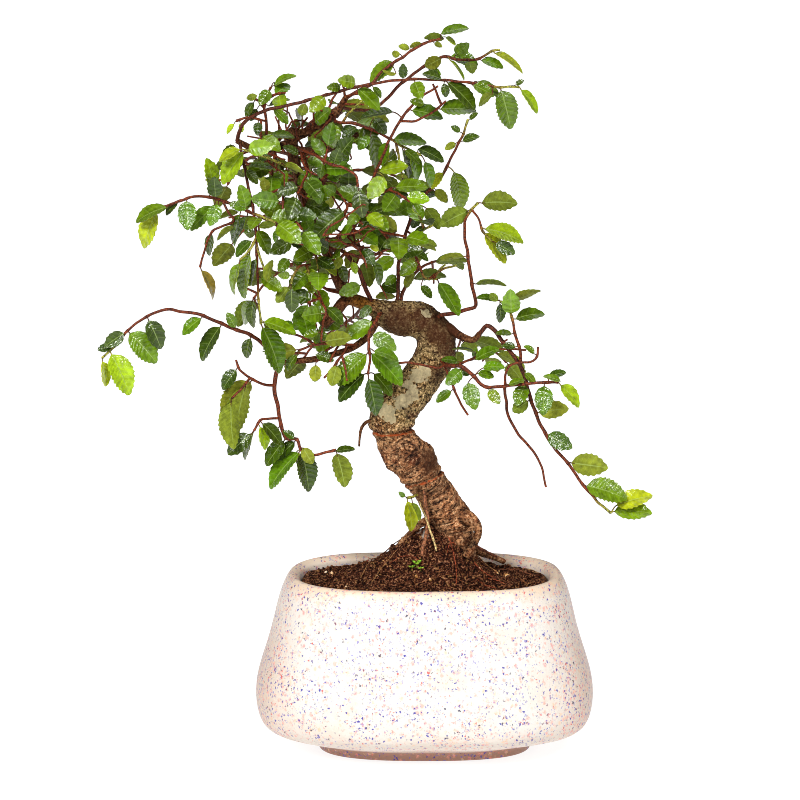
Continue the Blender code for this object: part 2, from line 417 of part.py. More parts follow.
def spot(column, row, depth):
    """The place at a depth that shows at a column and a row of the picture, in metres."""
    tilt = math.radians(EYE_TILT)
    across = (column - PICTURE_MIDDLE) * PIXEL
    up = (PICTURE_MIDDLE - row) * PIXEL
    reach = (EYE_DISTANCE * math.cos(tilt) + depth) / (EYE_DISTANCE * math.cos(tilt) + up * math.sin(tilt))
    drop = up * math.cos(tilt) - EYE_DISTANCE * math.sin(tilt)
    z = AIM_Z + EYE_DISTANCE * math.sin(tilt) + drop * reach
    return Vector((AIM_X + across * reach, depth, z)) * MM


def smooth(points, step):
    """Points about a step apart on a smooth curve through the given ones, radius carried along."""
    ends = [points[0] * 2 - points[1], *points, points[-1] * 2 - points[-2]]
    path = []
    for before, start, end, after in zip(ends, ends[1:], ends[2:], ends[3:]):
        count = max(1, round((end - start).to_3d().length / step))
        for i in range(count):
            t = i / count
            bend = 2 * before - 5 * start + 4 * end - after
            swing = 3 * start - before - 3 * end + after
            path.append(0.5 * (2 * start + (end - before) * t + bend * t * t + swing * t ** 3))
    path.append(points[-1])
    return path


def limb_route(points):
    return [Vector((*spot(*point[:3]), point[3] * MM)) for point in points]


def stem_route(first_radius, last_radius, points):
    """A stem's corner points, tapering from its first radius to its last."""
    last = len(points) - 1
    return [
        Vector((*spot(*point), (first_radius + (last_radius - first_radius) * i / last) * MM))
        for i, point in enumerate(points)
    ]


def material(name, colour, roughness):
    made = bpy.data.materials.new(name)
    made.use_nodes = True
    shader = made.node_tree.nodes["Principled BSDF"]
    shader.inputs["Base Color"].default_value = (*colour, 1.0)
    shader.inputs["Roughness"].default_value = roughness
    made.diffuse_color = (*colour, 1.0)
    return made


def evaluated_mesh(made):
    graph = bpy.context.evaluated_depsgraph_get()
    return bpy.data.meshes.new_from_object(made.evaluated_get(graph), depsgraph=graph)


def linked(name, data, group):
    made = bpy.data.objects.new(name, data)
    group.objects.link(made)
    return made


def tube(path, resolution):
    """A closed tube along a path, each point's fourth number its radius."""
    curve = bpy.data.curves.new("tube", "CURVE")
    curve.dimensions = "3D"
    curve.bevel_depth = 1.0
    curve.bevel_resolution = resolution
    curve.use_fill_caps = True
    spline = curve.splines.new("POLY")
    spline.points.add(len(path) - 1)
    for point, place in zip(spline.points, path):
        point.co = (*place[:3], 1.0)
        point.radius = place[3]
    wire = linked("tube", curve, bpy.context.scene.collection)
    mesh = evaluated_mesh(wire)
    bpy.data.objects.remove(wire)
    shell = bmesh.new()
    shell.from_mesh(mesh)
    bmesh.ops.remove_doubles(shell, verts=shell.verts, dist=1e-6)
    bmesh.ops.recalc_face_normals(shell, faces=shell.faces)
    shell.to_mesh(mesh)
    shell.free()
    return mesh


def join(name, meshes, group, operation="UNION"):
    """One object from meshes that meet: the rest joined to the first, or cut from it."""
    body = linked(name, meshes[0], group)
    if len(meshes) > 1:
        others = bpy.data.collections.new(name + "_others")
        bpy.context.scene.collection.children.link(others)
        for mesh in meshes[1:]:
            linked(name + "_other", mesh, others)
        boolean = body.modifiers.new("join", "BOOLEAN")
        boolean.operation = operation
        boolean.operand_type = "COLLECTION"
        boolean.collection = others
        boolean.solver = "MANIFOLD"
        mesh = evaluated_mesh(body)
        body.modifiers.clear()
        body.data = mesh
        for other in list(others.objects):
            bpy.data.objects.remove(other)
        bpy.data.collections.remove(others)
    return body


def keep_largest(body):
    """Drops loose scraps that a cut has left, and makes the rest triangles."""
    shell = bmesh.new()
    shell.from_mesh(body.data)
    left = set(shell.verts)
    pieces = []
    while left:
        piece = {left.pop()}
        edge = list(piece)
        while edge:
            vertex = edge.pop()
            for link in vertex.link_edges:
                other = link.other_vert(vertex)
                if other in left:
                    left.discard(other)
                    piece.add(other)
                    edge.append(other)
        pieces.append(piece)
    pieces.sort(key=len)
    scraps = [vertex for piece in pieces[:-1] for vertex in piece]
    bmesh.ops.delete(shell, geom=scraps, context="VERTS")
    bmesh.ops.poke(shell, faces=crossed_faces(shell))
    bmesh.ops.triangulate(shell, faces=shell.faces)
    shell.to_mesh(body.data)
    shell.free()


def crossed_faces(shell):
    """The many-sided faces that a diagonal would split along an edge that is there already."""
    shell.verts.index_update()
    trial = shell.copy()
    bmesh.ops.triangulate(trial, faces=trial.faces)
    doubled = [
        {vertex.index for vertex in edge.verts} for edge in trial.edges if len(edge.link_faces) > 2
    ]
    trial.free()
    crossed = []
    for face in shell.faces:
        corners = {vertex.index for vertex in face.verts}
        sides = [{vertex.index for vertex in edge.verts} for edge in face.edges]
        if any(pair <= corners and pair not in sides for pair in doubled):
            crossed.append(face)
    return crossed


def finished(body, look, parent):
    body.data.materials.clear()
    body.data.materials.append(look)
    body.data.shade_smooth()
    body.data.set_sharp_from_angle(angle=math.radians(35))
    body.parent = parent
    return body


def oval(half_width, half_depth, sectors):
    """Points round an oval whose corners are squared, anticlockwise from +X."""
    power = 2 / POT_SQUARENESS
    points = []
    for i in range(sectors):
        turn = 2 * math.pi * i / sectors
        cos, sin = math.cos(turn), math.sin(turn)
        x = half_width * math.copysign(abs(cos) ** power, cos)
        y = half_depth * math.copysign(abs(sin) ** power, sin)
        points.append((x, y))
    return points


def loft(rings, name):
    """A closed solid through unlike rings of equally many points, closed to a fan at both ends."""
    shell = bmesh.new()
    rows = [[shell.verts.new(Vector(point) * MM) for point in ring] for ring in rings]
    for lower, upper in zip(rows, rows[1:]):
        for i in range(len(lower)):
            j = (i + 1) % len(lower)
            shell.faces.new((lower[i], lower[j], upper[j], upper[i]))
    for row in (rows[0], rows[-1]):
        middle = sum((vertex.co for vertex in row), Vector()) / len(row)
        centre = shell.verts.new(middle)
        for i in range(len(row)):
            shell.faces.new((row[i], row[(i + 1) % len(row)], centre))
    bmesh.ops.recalc_face_normals(shell, faces=shell.faces)
    mesh = bpy.data.meshes.new(name)
    shell.to_mesh(mesh)
    shell.free()
    return mesh


def outside_depth(height, half_width):
    """Half depth of the pot's outside, where its half width at a height is known."""
    heights = (SPREAD_START, SPREAD_END, LEAN_START, POT_RIM[0])
    shares = (FOOT_DEPTH_SHARE, POT_DEPTH_SHARE, POT_DEPTH_SHARE, RIM_DEPTH_SHARE)
    return half_width * float(np.interp(height, heights, shares))


def inside_depth(height, half_width):
    """Half depth of the pot's inside, one wall in from its outside on every side."""
    return outside_depth(height, half_width + POT_WALL) - POT_WALL


def pot_mesh():
    rings = []
    for height, width in (*POT_OUTSIDE, POT_RIM):
        rings.append([(x, y, height) for x, y in oval(width, outside_depth(height, width), POT_SECTORS)])
    for height, width in POT_INSIDE:
        rings.append([(x, y, height) for x, y in oval(width, inside_depth(height, width), POT_SECTORS)])
    return loft(rings, "pot")


def drain_mesh(offset):
    """A cutter for one drainage hole through the pot's floor."""
    floor = POT_INSIDE[-1][0]
    shell = bmesh.new()
    place = Matrix.Translation(Vector((offset, 0, floor / 2)) * MM)
    bmesh.ops.create_cone(
        shell, cap_ends=True, segments=16, radius1=DRAIN_RADIUS * MM, radius2=DRAIN_RADIUS * MM,
        depth=2 * floor * MM, matrix=place,
    )
    mesh = bpy.data.meshes.new("drain")
    shell.to_mesh(mesh)
    shell.free()
    return mesh


def soil_height(x, y):
    """The soil's surface: level at the wall, heaped towards the trunk, gentler on the left."""
    away_x = x - MOUND_CENTRE[0]
    spread = MOUND_LEFT if away_x < 0 else MOUND_RIGHT
    away = (away_x / spread) ** 2 + ((y - MOUND_CENTRE[1]) / MOUND_DEPTH) ** 2
    clods = 0.9 * noise.noise(Vector((x / 9, y / 9, 3.0)))
    return SOIL_LEVEL + MOUND_HEIGHT * math.exp(-away) + clods


def soil_mesh():
    """The filling: the pot's inside less a gap, with rings of surface closing over the top."""
    floor, floor_width = POT_INSIDE[-1]
    rings = []
    for height, width in reversed(POT_INSIDE):
        if height < SOIL_LEVEL:
            lift = SEAT_GAP if height == floor else 0.0
            shape = oval(width - SEAT_GAP, inside_depth(height, width) - SEAT_GAP, POT_SECTORS)
            rings.append([(x, y, height + lift) for x, y in shape])
    edge = oval(POT_INSIDE[1][1] - EDGE_GAP, inside_depth(*POT_INSIDE[1]) - EDGE_GAP, POT_SECTORS)
    for share in (1.0, 0.78, 0.56, 0.36, 0.18):
        centre_x, centre_y = MOUND_CENTRE
        ring = []
        for x, y in edge:
            x = centre_x + (x - centre_x) * share
            y = centre_y + (y - centre_y) * share
            ring.append((x, y, soil_height(x, y)))
        rings.append(ring)
    return loft(rings, "soil")


def knobbed(mesh, path):
    """Moves a limb's skin in and out, for the bark's large bumps."""
    bumps = [(spot(*knob[:3]), knob[3] * MM, knob[4] * MM) for knob in KNOBS]
    for vertex in mesh.vertices:
        nearest = min(path, key=lambda point: (point.to_3d() - vertex.co).length_squared)
        outward = vertex.co - nearest.to_3d()
        if outward.length < 1e-5:
            continue
        share = min(1.0, nearest[3] / (KNOB_FULL_RADIUS * MM))
        height = GNARL_HEIGHT * MM * noise.noise(vertex.co / (GNARL_SPREAD * MM)) * share
        for centre, spread, bump in bumps:
            height += bump * math.exp(-((vertex.co - centre).length / spread) ** 2) * share
        vertex.co += outward.normalized() * height
    mesh.update()


def trunk_meshes(grow):
    """The trunk, its roots and its bare limbs, each thicker by a growth in mm."""
    meshes = []
    thicker = Vector((0, 0, 0, grow * MM))
    trunk = smooth(limb_route(TRUNK), TRUNK_STEP * MM)
    thick = [point + thicker for point in trunk if point[3] > THICK_RADIUS * MM]
    thin = [point + thicker for point in trunk[len(thick) - 2:]]
    for path, sides in ((thick, 4), (thin, 1)):
        mesh = tube(path, sides)
        knobbed(mesh, path)
        meshes.append(mesh)
    for points in LIMBS.values():
        route = smooth(limb_route(points), CLOSE_STEP * MM)
        path = [point + thicker for point in thinned(route, LIMB_STEP * MM)]
        meshes.append(tube(path, 1 if points[0][3] > 3 else 0))
    return meshes


def wood_samples():
    """Points close together along all the wood that shoots grow from."""
    points = smooth(limb_route(TRUNK), CLOSE_STEP * MM)
    for limb in LIMBS.values():
        points += smooth(limb_route(limb), CLOSE_STEP * MM)
    return points


class Plant:
    """Where every stem and leaf lies, each laid clear of the ones before it."""

    def __init__(self):
        self.wood = wood_samples()
        self.owners = [-1] * len(self.wood)
        self.tubes = np.array([tuple(point) for point in self.wood])
        self.blades = []
        self.shoots = []

    def lay_stems(self):
        for index, (name, fill, stems, leaves) in enumerate(SHOOTS):
            paths = []
            for number, (first, last, points) in enumerate(stems):
                route = stem_route(first, last, points)
                before = self.wood if number == 0 else [point for path in paths for point in path]
                seat = min(before, key=lambda point: (point.to_3d() - route[0].to_3d()).length_squared)
                route[0] = Vector((*seat[:3], route[0][3]))
                path = self.clear_path(route, index, seat[3])
                paths.append(path)
            laid = np.array([tuple(point) for path in paths for point in path])
            self.tubes = np.vstack((self.tubes, laid))
            self.owners += [index] * len(laid)
            self.shoots.append({"name": name, "paths": paths, "leaves": []})

    def clear_path(self, route, index, seat_radius):
        """A stem's path, moved in depth by the least shift that clears the other wood."""
        best, best_hits = None, None
        others = self.tubes[np.array(self.owners) != index]
        for shift in STEM_SHIFTS:
            moved = [
                point + Vector((0, shift * MM * min(1.0, i / 2), 0, 0)) if i else point
                for i, point in enumerate(route)
            ]
            path = smooth(moved, CLOSE_STEP * MM)
            start = path[0].to_3d()
            free = [point for point in path if (point.to_3d() - start).length > seat_radius + 2.5 * MM]
            hits = 0
            for point in free:
                far = np.linalg.norm(others[:, :3] - np.array(point[:3]), axis=1)
                hits += int((far < others[:, 3] + point[3] + CLEARANCE * MM + 0.4 * MM).sum())
            if best_hits is None or hits < best_hits:
                best, best_hits = path, hits
            if hits == 0:
                break
        return best

    def lay_leaves(self):
        """The leaves seen from the front first, then those that follow the rule along each stem."""
        chances = []
        for index, (name, fill, stems, leaves) in enumerate(SHOOTS):
            shoot = self.shoots[index]
            shoot["feet"] = []
            chances.append(random.Random(name))
            for shown in leaves:
                leaf = shown_leaf(shoot["paths"], shown, chances[index])
                if leaf["length"] > SHORTEST_LEAF * MM:
                    self.settle(shoot, index, leaf)
        for index, (name, fill, stems, leaves) in enumerate(SHOOTS):
            self.fill_stems(self.shoots[index], index, fill, chances[index])

    def fill_stems(self, shoot, index, count, chance):
        """Leaves in two ranks from each stem's tip inwards, where no other grows, up to the count."""
        placed = 0
        for path in shoot["paths"]:
            last = len(path) - 1
            walked, side = FILL_SPACING * MM, 1.0
            for i in range(last, 1, -1):
                step = (path[i] - path[i - 1]).to_3d()
                foot = path[i].to_3d()
                taken = any((foot - other).length < FOOT_SPACING * MM for other in shoot["feet"])
                if walked >= FILL_SPACING * MM and placed < count and not taken:
                    walked, side = 0.0, -side
                    along = step.normalized()
                    across = along.cross(Vector((0, 0, 1))).normalized() * side
                    angle = math.radians(FILL_ANGLE + chance.uniform(-10, 10)) if i < last else 0.0
                    axis = along * math.cos(angle) + across * math.sin(angle)
                    axis.z += chance.uniform(-0.25, 0.15)
                    placed += self.settle(shoot, index, rule_leaf(foot, axis.normalized(), chance))
                walked += step.length

    def settle(self, shoot, index, wanted):
        """Adds the leaf at the first of its tries that crosses nothing, and says if one did."""
        for swing, nod, roll, size, shift in LEAF_TRIES:
            leaf = turned(wanted, swing, nod, roll, size, shift)
            if self.is_clear(leaf, index):
                corners, faces = blade(leaf, CLEARANCE * MM)
                tree = BVHTree.FromPolygons(corners, faces)
                middle = leaf["base"] + leaf["axis"] * leaf["length"] / 2
                self.blades.append((tree, middle, leaf["length"] * LEAF_REACH, index))
                shoot["leaves"].append(leaf)
                shoot["feet"].append(leaf["foot"])
                return True
        return False

    def is_clear(self, leaf, index):
        corners, faces = blade(leaf, CLEARANCE * MM, bare=True)
        tree = BVHTree.FromPolygons(corners, faces)
        middle = leaf["base"] + leaf["axis"] * leaf["length"] / 2
        radius = leaf["length"] * LEAF_REACH
        for other, centre, other_radius, owner in self.blades:
            if (centre - middle).length < radius + other_radius and tree.overlap(other):
                return False
        far = np.linalg.norm(self.tubes[:, :3] - np.array(middle), axis=1)
        for i in np.nonzero(far < radius + self.tubes[:, 3] + MM)[0]:
            own = self.owners[i] == index
            room = self.tubes[i][3] - 0.3 * MM if own else self.tubes[i][3] + 0.45 * MM
            if self.owners[i] == -1:
                room += 0.9 * MM
            if tree.find_nearest(Vector(self.tubes[i][:3]), room)[0] is not None:
                return False
        return self.petiole_is_clear(leaf, index)

    def petiole_is_clear(self, leaf, index):
        others = self.tubes[np.array(self.owners) != index]
        for share in (0.35, 0.7, 1.0):
            place = leaf["foot"].lerp(leaf["base"], share)
            far = np.linalg.norm(others[:, :3] - np.array(place), axis=1)
            if (far < others[:, 3] + (PETIOLE_HALF + CLEARANCE) * MM).any():
                return False
            for other, centre, other_radius, owner in self.blades:
                near = (centre - place).length < other_radius + MM
                if near and other.find_nearest(place, (PETIOLE_HALF + CLEARANCE) * MM)[0] is not None:
                    return False
        return True


def shown_leaf(paths, shown, chance):
    """A leaf as the picture shows it: its foot on the nearest stem, its tip turned to the viewer.

    A blade that shows wider than it should be for its length points towards the viewer, and one
    that shows narrower is rolled about its rib.
    """
    column, row, tip_column, tip_row, width, look = shown
    best = None
    for path in paths:
        for point in path[2:]:
            away = (spot(column, row, point.y / MM) - point.to_3d()).length
            if best is None or away < best[0]:
                best = (away, point.to_3d())
    foot = best[1]
    depth = foot.y / MM
    base = spot(column, row, depth)
    shown_length = (spot(tip_column, tip_row, depth) - base).length
    shown_width = width * PIXEL * MM
    length = max(shown_length, shown_width / LEAF_WIDTH_SHARE)
    nearer = math.sqrt(length ** 2 - shown_length ** 2) / MM
    axis = (spot(tip_column, tip_row, depth - nearer) - base).normalized()
    if (base - foot).length < PETIOLE * MM:
        base = foot + axis * PETIOLE * MM
    tilt = math.radians(EYE_TILT)
    face = Vector((0, -math.cos(tilt), math.sin(tilt))) * (-1 if look == "u" else 1)
    normal = (face - axis * face.dot(axis)).normalized()
    roll = math.acos(min(1.0, shown_width / (LEAF_WIDTH_SHARE * length)))
    sides = [Matrix.Rotation(turn, 3, axis) @ normal for turn in (-roll, roll)]
    normal = max(sides, key=lambda side: side.z)
    return {"foot": foot, "base": base, "axis": axis, "normal": normal, "length": length,
            "arch": chance.uniform(*LEAF_ARCHES)}


def rule_leaf(foot, axis, chance):
    """A leaf that grows from a stem by the rule, its face up and outwards."""
    outlook = 0.85 if foot.y < 18 * MM else -0.6
    face = Vector((chance.uniform(-0.35, 0.35), -outlook, 0.62))
    normal = (face - axis * face.dot(axis)).normalized()
    return {"foot": foot, "base": foot + axis * PETIOLE * MM, "axis": axis, "normal": normal,
            "length": chance.uniform(*FILL_LENGTHS) * MM, "arch": chance.uniform(*LEAF_ARCHES)}


def turned(leaf, swing, nod, roll, size, shift):
    """The leaf swung in its plane, nodded and rolled about its base, sized, and shifted in depth."""
    axis, normal = leaf["axis"], leaf["normal"]
    axis = Matrix.Rotation(math.radians(swing), 3, normal) @ axis
    across = normal.cross(axis)
    axis = (Matrix.Rotation(math.radians(nod), 3, across) @ axis).normalized()
    normal = Matrix.Rotation(math.radians(roll), 3, axis) @ axis.cross(across).normalized()
    base = leaf["base"] + Vector((0, shift * MM, 0))
    return {**leaf, "base": base, "axis": axis, "normal": normal, "length": leaf["length"] * size}


def blade(leaf, grow=0.0, bare=False):
    """Corners and faces of a leaf: two sheets of like triangles round a rib point, joined at the edge.

    They run to one sharp corner at its foot in the stem. A grown blade is larger all round, and a
    bare one ends at its base.
    """
    length, axis, normal = leaf["length"], leaf["axis"], leaf["normal"]
    across = normal.cross(axis)
    half_width = length * LEAF_WIDTH_SHARE / 2
    edge = LARGE_EDGE if length > SMALL_LEAF * MM else SMALL_EDGE

    def place(share, side):
        out = side * half_width
        lift = LEAF_FOLD * abs(out) + 4 * leaf["arch"] * length * share * (1 - share)
        return leaf["base"] + axis * (share * length) + across * out + normal * lift

    wider = 1 + grow / half_width
    right = [place(share, side * wider) for share, side in edge]
    left = [place(share, -side * wider) for share, side in edge]
    sheet = [place(0.5, 0), *right, place(1 + grow / length, 0), *left[::-1]]
    half = normal * (LEAF_THICKNESS * MM / 2 + grow)
    foot = leaf["base"] if bare else leaf["foot"]
    corners = [foot] + [corner + half for corner in sheet] + [corner - half for corner in sheet]
    rim, size = len(sheet) - 1, len(sheet)
    over, under = 1, 1 + size
    faces = [
        (over, 0, over + 1), (over, over + rim, 0), (under, under + 1, 0), (under, 0, under + rim),
        (0, under + 1, over + 1), (0, over + rim, under + rim),
    ]
    for i in range(1, rim):
        faces.append((over, over + i, over + i + 1))
        faces.append((under, under + i + 1, under + i))
        faces.append((over + i, under + i, under + i + 1))
        faces.append((over + i, under + i + 1, over + i + 1))
    return corners, faces


def leaf_mesh(leaf):
    corners, faces = blade(leaf)
    mesh = bpy.data.meshes.new("leaf")
    mesh.from_pydata(corners, [], faces)
    shell = bmesh.new()
    shell.from_mesh(mesh)
    bmesh.ops.recalc_face_normals(shell, faces=shell.faces)
    shell.to_mesh(mesh)
    shell.free()
    return mesh


def thinned(path, step):
    """The path with only as many points as its bends need."""
    kept = [path[0]]
    for point in path[1:-1]:
        if (point - kept[-1]).to_3d().length >= step:
            kept.append(point)
    kept.append(path[-1])
    return kept


def build():
    for old in list(bpy.data.objects):
        bpy.data.objects.remove(old)
    bonsai = bpy.data.collections.new("elm_bonsai")
    bpy.context.scene.collection.children.link(bonsai)
    stand = bpy.data.objects.new("bonsai_origin", None)
    bonsai.objects.link(stand)

    glaze = material("speckled_glaze", (0.90, 0.85, 0.79), 0.45)
    earth = material("potting_soil", (0.055, 0.028, 0.016), 0.95)
    bark = material("elm_bark", (0.27, 0.20, 0.14), 0.85)
    green = material("elm_leaf", (0.09, 0.24, 0.03), 0.40)

    drains = [drain_mesh(DRAIN_OFFSET), drain_mesh(-DRAIN_OFFSET)]
    finished(join("pot", [pot_mesh(), *drains], bonsai, "DIFFERENCE"), glaze, stand)
    finished(join("trunk", trunk_meshes(0.0), bonsai), bark, stand)
    grown = join("grown_trunk", trunk_meshes(SEAT_GAP), bonsai)
    soil = join("soil", [soil_mesh(), grown.data.copy()], bonsai, "DIFFERENCE")
    keep_largest(soil)
    finished(soil, earth, stand)

    plant = Plant()
    plant.lay_stems()
    plant.lay_leaves()
    for shoot in plant.shoots:
        meshes = [tube(thinned(path, STEM_STEP * MM), 0) for path in shoot["paths"]]
        meshes += [leaf_mesh(leaf) for leaf in shoot["leaves"]]
        whole = join(shoot["name"] + "_whole", meshes, bonsai)
        cut = join(shoot["name"], [whole.data, grown.data.copy()], bonsai, "DIFFERENCE")
        bpy.data.objects.remove(whole)
        keep_largest(cut)
        finished(cut, green, stand)
    bpy.data.objects.remove(grown)


build()
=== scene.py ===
"""Dresses the solids of an elm bonsai: bark, roots, soil, toothed leaves and a speckled pot.

Metres, +Z up, in the frame of the solids. The front of the tree faces -Y. Named sizes are in
millimetres and angles in degrees.
"""

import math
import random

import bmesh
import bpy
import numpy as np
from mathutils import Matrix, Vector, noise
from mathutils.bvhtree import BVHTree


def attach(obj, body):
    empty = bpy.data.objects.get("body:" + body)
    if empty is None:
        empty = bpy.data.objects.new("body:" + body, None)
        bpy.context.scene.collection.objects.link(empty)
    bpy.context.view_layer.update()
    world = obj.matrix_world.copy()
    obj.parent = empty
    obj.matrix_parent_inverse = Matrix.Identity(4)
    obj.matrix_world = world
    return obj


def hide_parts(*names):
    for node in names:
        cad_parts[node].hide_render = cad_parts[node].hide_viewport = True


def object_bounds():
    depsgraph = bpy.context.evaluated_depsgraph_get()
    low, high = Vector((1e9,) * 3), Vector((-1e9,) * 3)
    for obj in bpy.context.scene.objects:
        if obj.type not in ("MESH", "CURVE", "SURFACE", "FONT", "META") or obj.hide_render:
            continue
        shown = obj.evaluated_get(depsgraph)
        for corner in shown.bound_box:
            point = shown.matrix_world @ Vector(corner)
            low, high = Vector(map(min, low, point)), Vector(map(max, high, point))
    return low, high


bl_info = {
    "name": "Elm Bonsai",
    "version": (1, 0, 0),
    "blender": (4, 5, 0),
    "location": "3D View > Sidebar > Bonsai",
    "description": "Dresses the solids of an elm bonsai with bark, leaves, soil and a speckled glaze",
    "category": "Object",
}

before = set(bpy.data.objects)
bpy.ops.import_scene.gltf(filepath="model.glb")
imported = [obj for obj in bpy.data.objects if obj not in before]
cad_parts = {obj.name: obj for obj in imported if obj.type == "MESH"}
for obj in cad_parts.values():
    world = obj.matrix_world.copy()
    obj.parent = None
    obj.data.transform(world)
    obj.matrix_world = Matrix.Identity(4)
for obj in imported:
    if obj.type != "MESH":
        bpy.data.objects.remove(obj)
SOLIDS_BOX = [list(corner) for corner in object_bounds()]

MM = 0.001

# Pot: an oval of squared outline on a smaller foot, its front and back leaning in to a rolled rim
POT_SQUARENESS = 2.6
POT_DEPTH_SHARE = 0.69
RIM_DEPTH_SHARE = 0.61
FOOT_DEPTH_SHARE = 0.56
LEAN_START = 45.0
SPREAD_START = 4.6
SPREAD_END = 15.2
POT_WALL = 7.0
POT_OUTSIDE = (
    (0.0, 47.8), (4.6, 47.8), (7.2, 57.5), (10.3, 70.4), (15.2, 74.4), (24.4, 76.1), (34.0, 75.2),
    (45.0, 71.6), (57.0, 67.9), (71.0, 64.9), (77.0, 62.4), (79.6, 60.9),
)
POT_RIM = (80.8, 59.0)
POT_INSIDE = ((79.2, 56.0), (77.0, 55.2), (57.0, 59.8), (34.0, 67.8), (17.0, 66.0), (12.0, 56.0))
FOOT_EDGE = 0.8
RIM_CREST = 0.5
POT_CREASE = 50.0
DRAIN_RADIUS = 3.5
DRAIN_OFFSET = 20.0
# Specks in the glaze, mm: spacing, share of places that have one, largest radius, soft edge; then
# strength, offset and hues
SPECKS = (
    (1.8, 0.75, 1.00, 0.34, 0.62, 57.0, ((0.0, "#ee9886"), (0.45, "#ecb88e"), (0.75, "#e07c78"))),
    (1.1, 0.78, 0.42, 0.16, 0.72, 13.0, ((0.0, "#4c4cb8"), (0.50, "#8e9098"), (0.68, "#dc6a5e"))),
    (1.5, 0.66, 0.53, 0.13, 0.92, 0.0, ((0.0, "#201c96"), (0.50, "#352f9c"), (0.72, "#221a48"),
                                        (0.84, "#cc4440"), (0.93, "#6a1e4e"))),
)
SPECK_CLUMPS = 9.0

# Soil: level below the rim, heaped up to the trunk
SEAT_GAP = 0.3
EDGE_GAP = 0.6
SOIL_LEVEL = 76.6
MOUND_HEIGHT = 25.5
MOUND_CENTRE = (8.0, 2.0)
MOUND_LEFT = 29.0
MOUND_RIGHT = 15.0
MOUND_DEPTH = 16.0
SOIL_FADE = 0.96
# How near the soil's outline crumbs, pebbles and fibres lie
LITTER_REACH = 0.86
FIBRE_COLOURS = ("#7a4a28", "#5f341c", "#6e3d24", "#94683c", "#53301f", "#8a3a1c")
# Dry crust against the wall: how far right, how far back, and how near the soil's outline it lies
DRY_CRUST = (24.0, 12.0, 0.91)
# Mould: picture column and row of each patch, and how far it spreads
MOULD_SPOTS = ((398, 538, 3.2), (407, 532, 3.4), (417, 528, 3.2), (390, 546, 2.2), (425, 533, 2.2))
# A seedling in the soil: picture column and row of its foot, then its leaves' length in mm
SEEDLINGS = ((417, 569, 2.6), (412, 571, 1.8), (421, 572, 1.6))

# Stage: the floor's width in metres, the widths of two lights in degrees, how far the picture's pixels
# blend, the camera's sensor in mm and its reach in metres
FLOOR_WIDTH = 12.0
KEY_WIDTH = 18.0
GLINT_WIDTH = 12.0
PIXEL_BLEND = 0.9
SENSOR_WIDTH = 36.0
SIGHT = 60.0
# The room's brightness by how far a direction points away from the viewer, back to front
ROOM_TONES = ((0.0, "#e8e8e8"), (0.35, "#9a9a9a"), (0.60, "#686868"), (1.0, "#8c8c8c"))

# The view that the routes below are read from: an 800 pixel square picture of the front
PICTURE_MIDDLE = 400
PIXEL = 0.443
EYE_DISTANCE = 2000.0
EYE_TILT = 12.5
AIM_X = -11.0
AIM_Z = 159.2

# Leaves: a petiole, then a toothed oval blade, folded along its rib and arched to its tip
PETIOLE = 1.6
PETIOLE_HALF = 0.38
LEAF_THICKNESS = 0.72
LEAF_WIDTH_SHARE = 0.60
LEAF_FOLD = 0.22
SMALL_LEAF = 14.0
SHORTEST_LEAF = 6.5
LARGE_EDGE = ((0.10, 0.66), (0.30, 0.86), (0.47, 1.06), (0.60, 0.84), (0.79, 0.74))
SMALL_EDGE = ((0.16, 0.82), (0.46, 1.0), (0.58, 0.78))
CLEARANCE = 0.35
# Room: how far past its seat a stem may touch other wood, and how far a twig may; what a stem keeps from
# other wood; how far a leaf may overlap its own stem, what it keeps from others, and more from old wood
STEM_SEAT = 2.5
TWIG_SEAT = 2.0
STEM_GAP = 0.4
OWN_OVERLAP = 0.3
STEM_ROOM = 0.45
WOOD_ROOM = 0.9
FILL_SPACING = 9.0
FILL_ANGLE = 52.0
FILL_LENGTHS = (11.0, 15.0)
FOOT_SPACING = 4.0
LEAF_ARCHES = (0.02, 0.07)
LEAF_REACH = 0.65
# Each try to lay a leaf clear of the others: swing in its own plane, nod, roll, size, shift in depth
LEAF_TRIES = (
    (0, 0, 0, 1.0, 0), (0, 0, 0, 1.0, -1.5), (0, 0, 0, 1.0, 1.5), (0, 0, 12, 1.0, 0), (0, 0, -12, 1.0, 0),
    (0, 12, 0, 1.0, 0), (0, -12, 0, 1.0, 0), (0, 0, 0, 1.0, -3), (0, 0, 0, 1.0, 3), (8, 0, 20, 1.0, -1.5),
    (-8, 0, -20, 1.0, 1.5), (8, 12, 0, 1.0, 1.5), (-8, -12, 0, 1.0, -1.5), (0, 20, 20, 1.0, -2),
    (0, -20, -20, 1.0, 2), (0, 0, 0, 0.95, -4.5), (0, 0, 0, 0.95, 4.5), (15, 10, 30, 0.95, -3),
    (-15, 10, -30, 0.95, -3), (15, -18, 40, 0.95, 3), (-15, -18, -40, 0.95, 3), (0, 30, 0, 0.9, -3),
    (0, -30, 0, 0.9, 3), (20, 0, 55, 0.9, -5), (-20, 0, -55, 0.9, 5), (15, 35, 45, 0.85, 0),
    (-15, 35, -45, 0.85, 0), (15, -35, 60, 0.85, 0), (-15, -35, -60, 0.85, 0), (30, 20, 20, 0.8, -6),
    (-30, 20, -20, 0.8, 6), (40, -25, 70, 0.8, 0), (-40, -25, -70, 0.8, 0), (0, 50, 30, 0.75, 0),
    (0, -50, -30, 0.75, 0),
)
STEM_SHIFTS = (0, -2.5, 2.5, -5, 5, -7.5, 7.5, -10, 10, -13, 13, -16, 16)
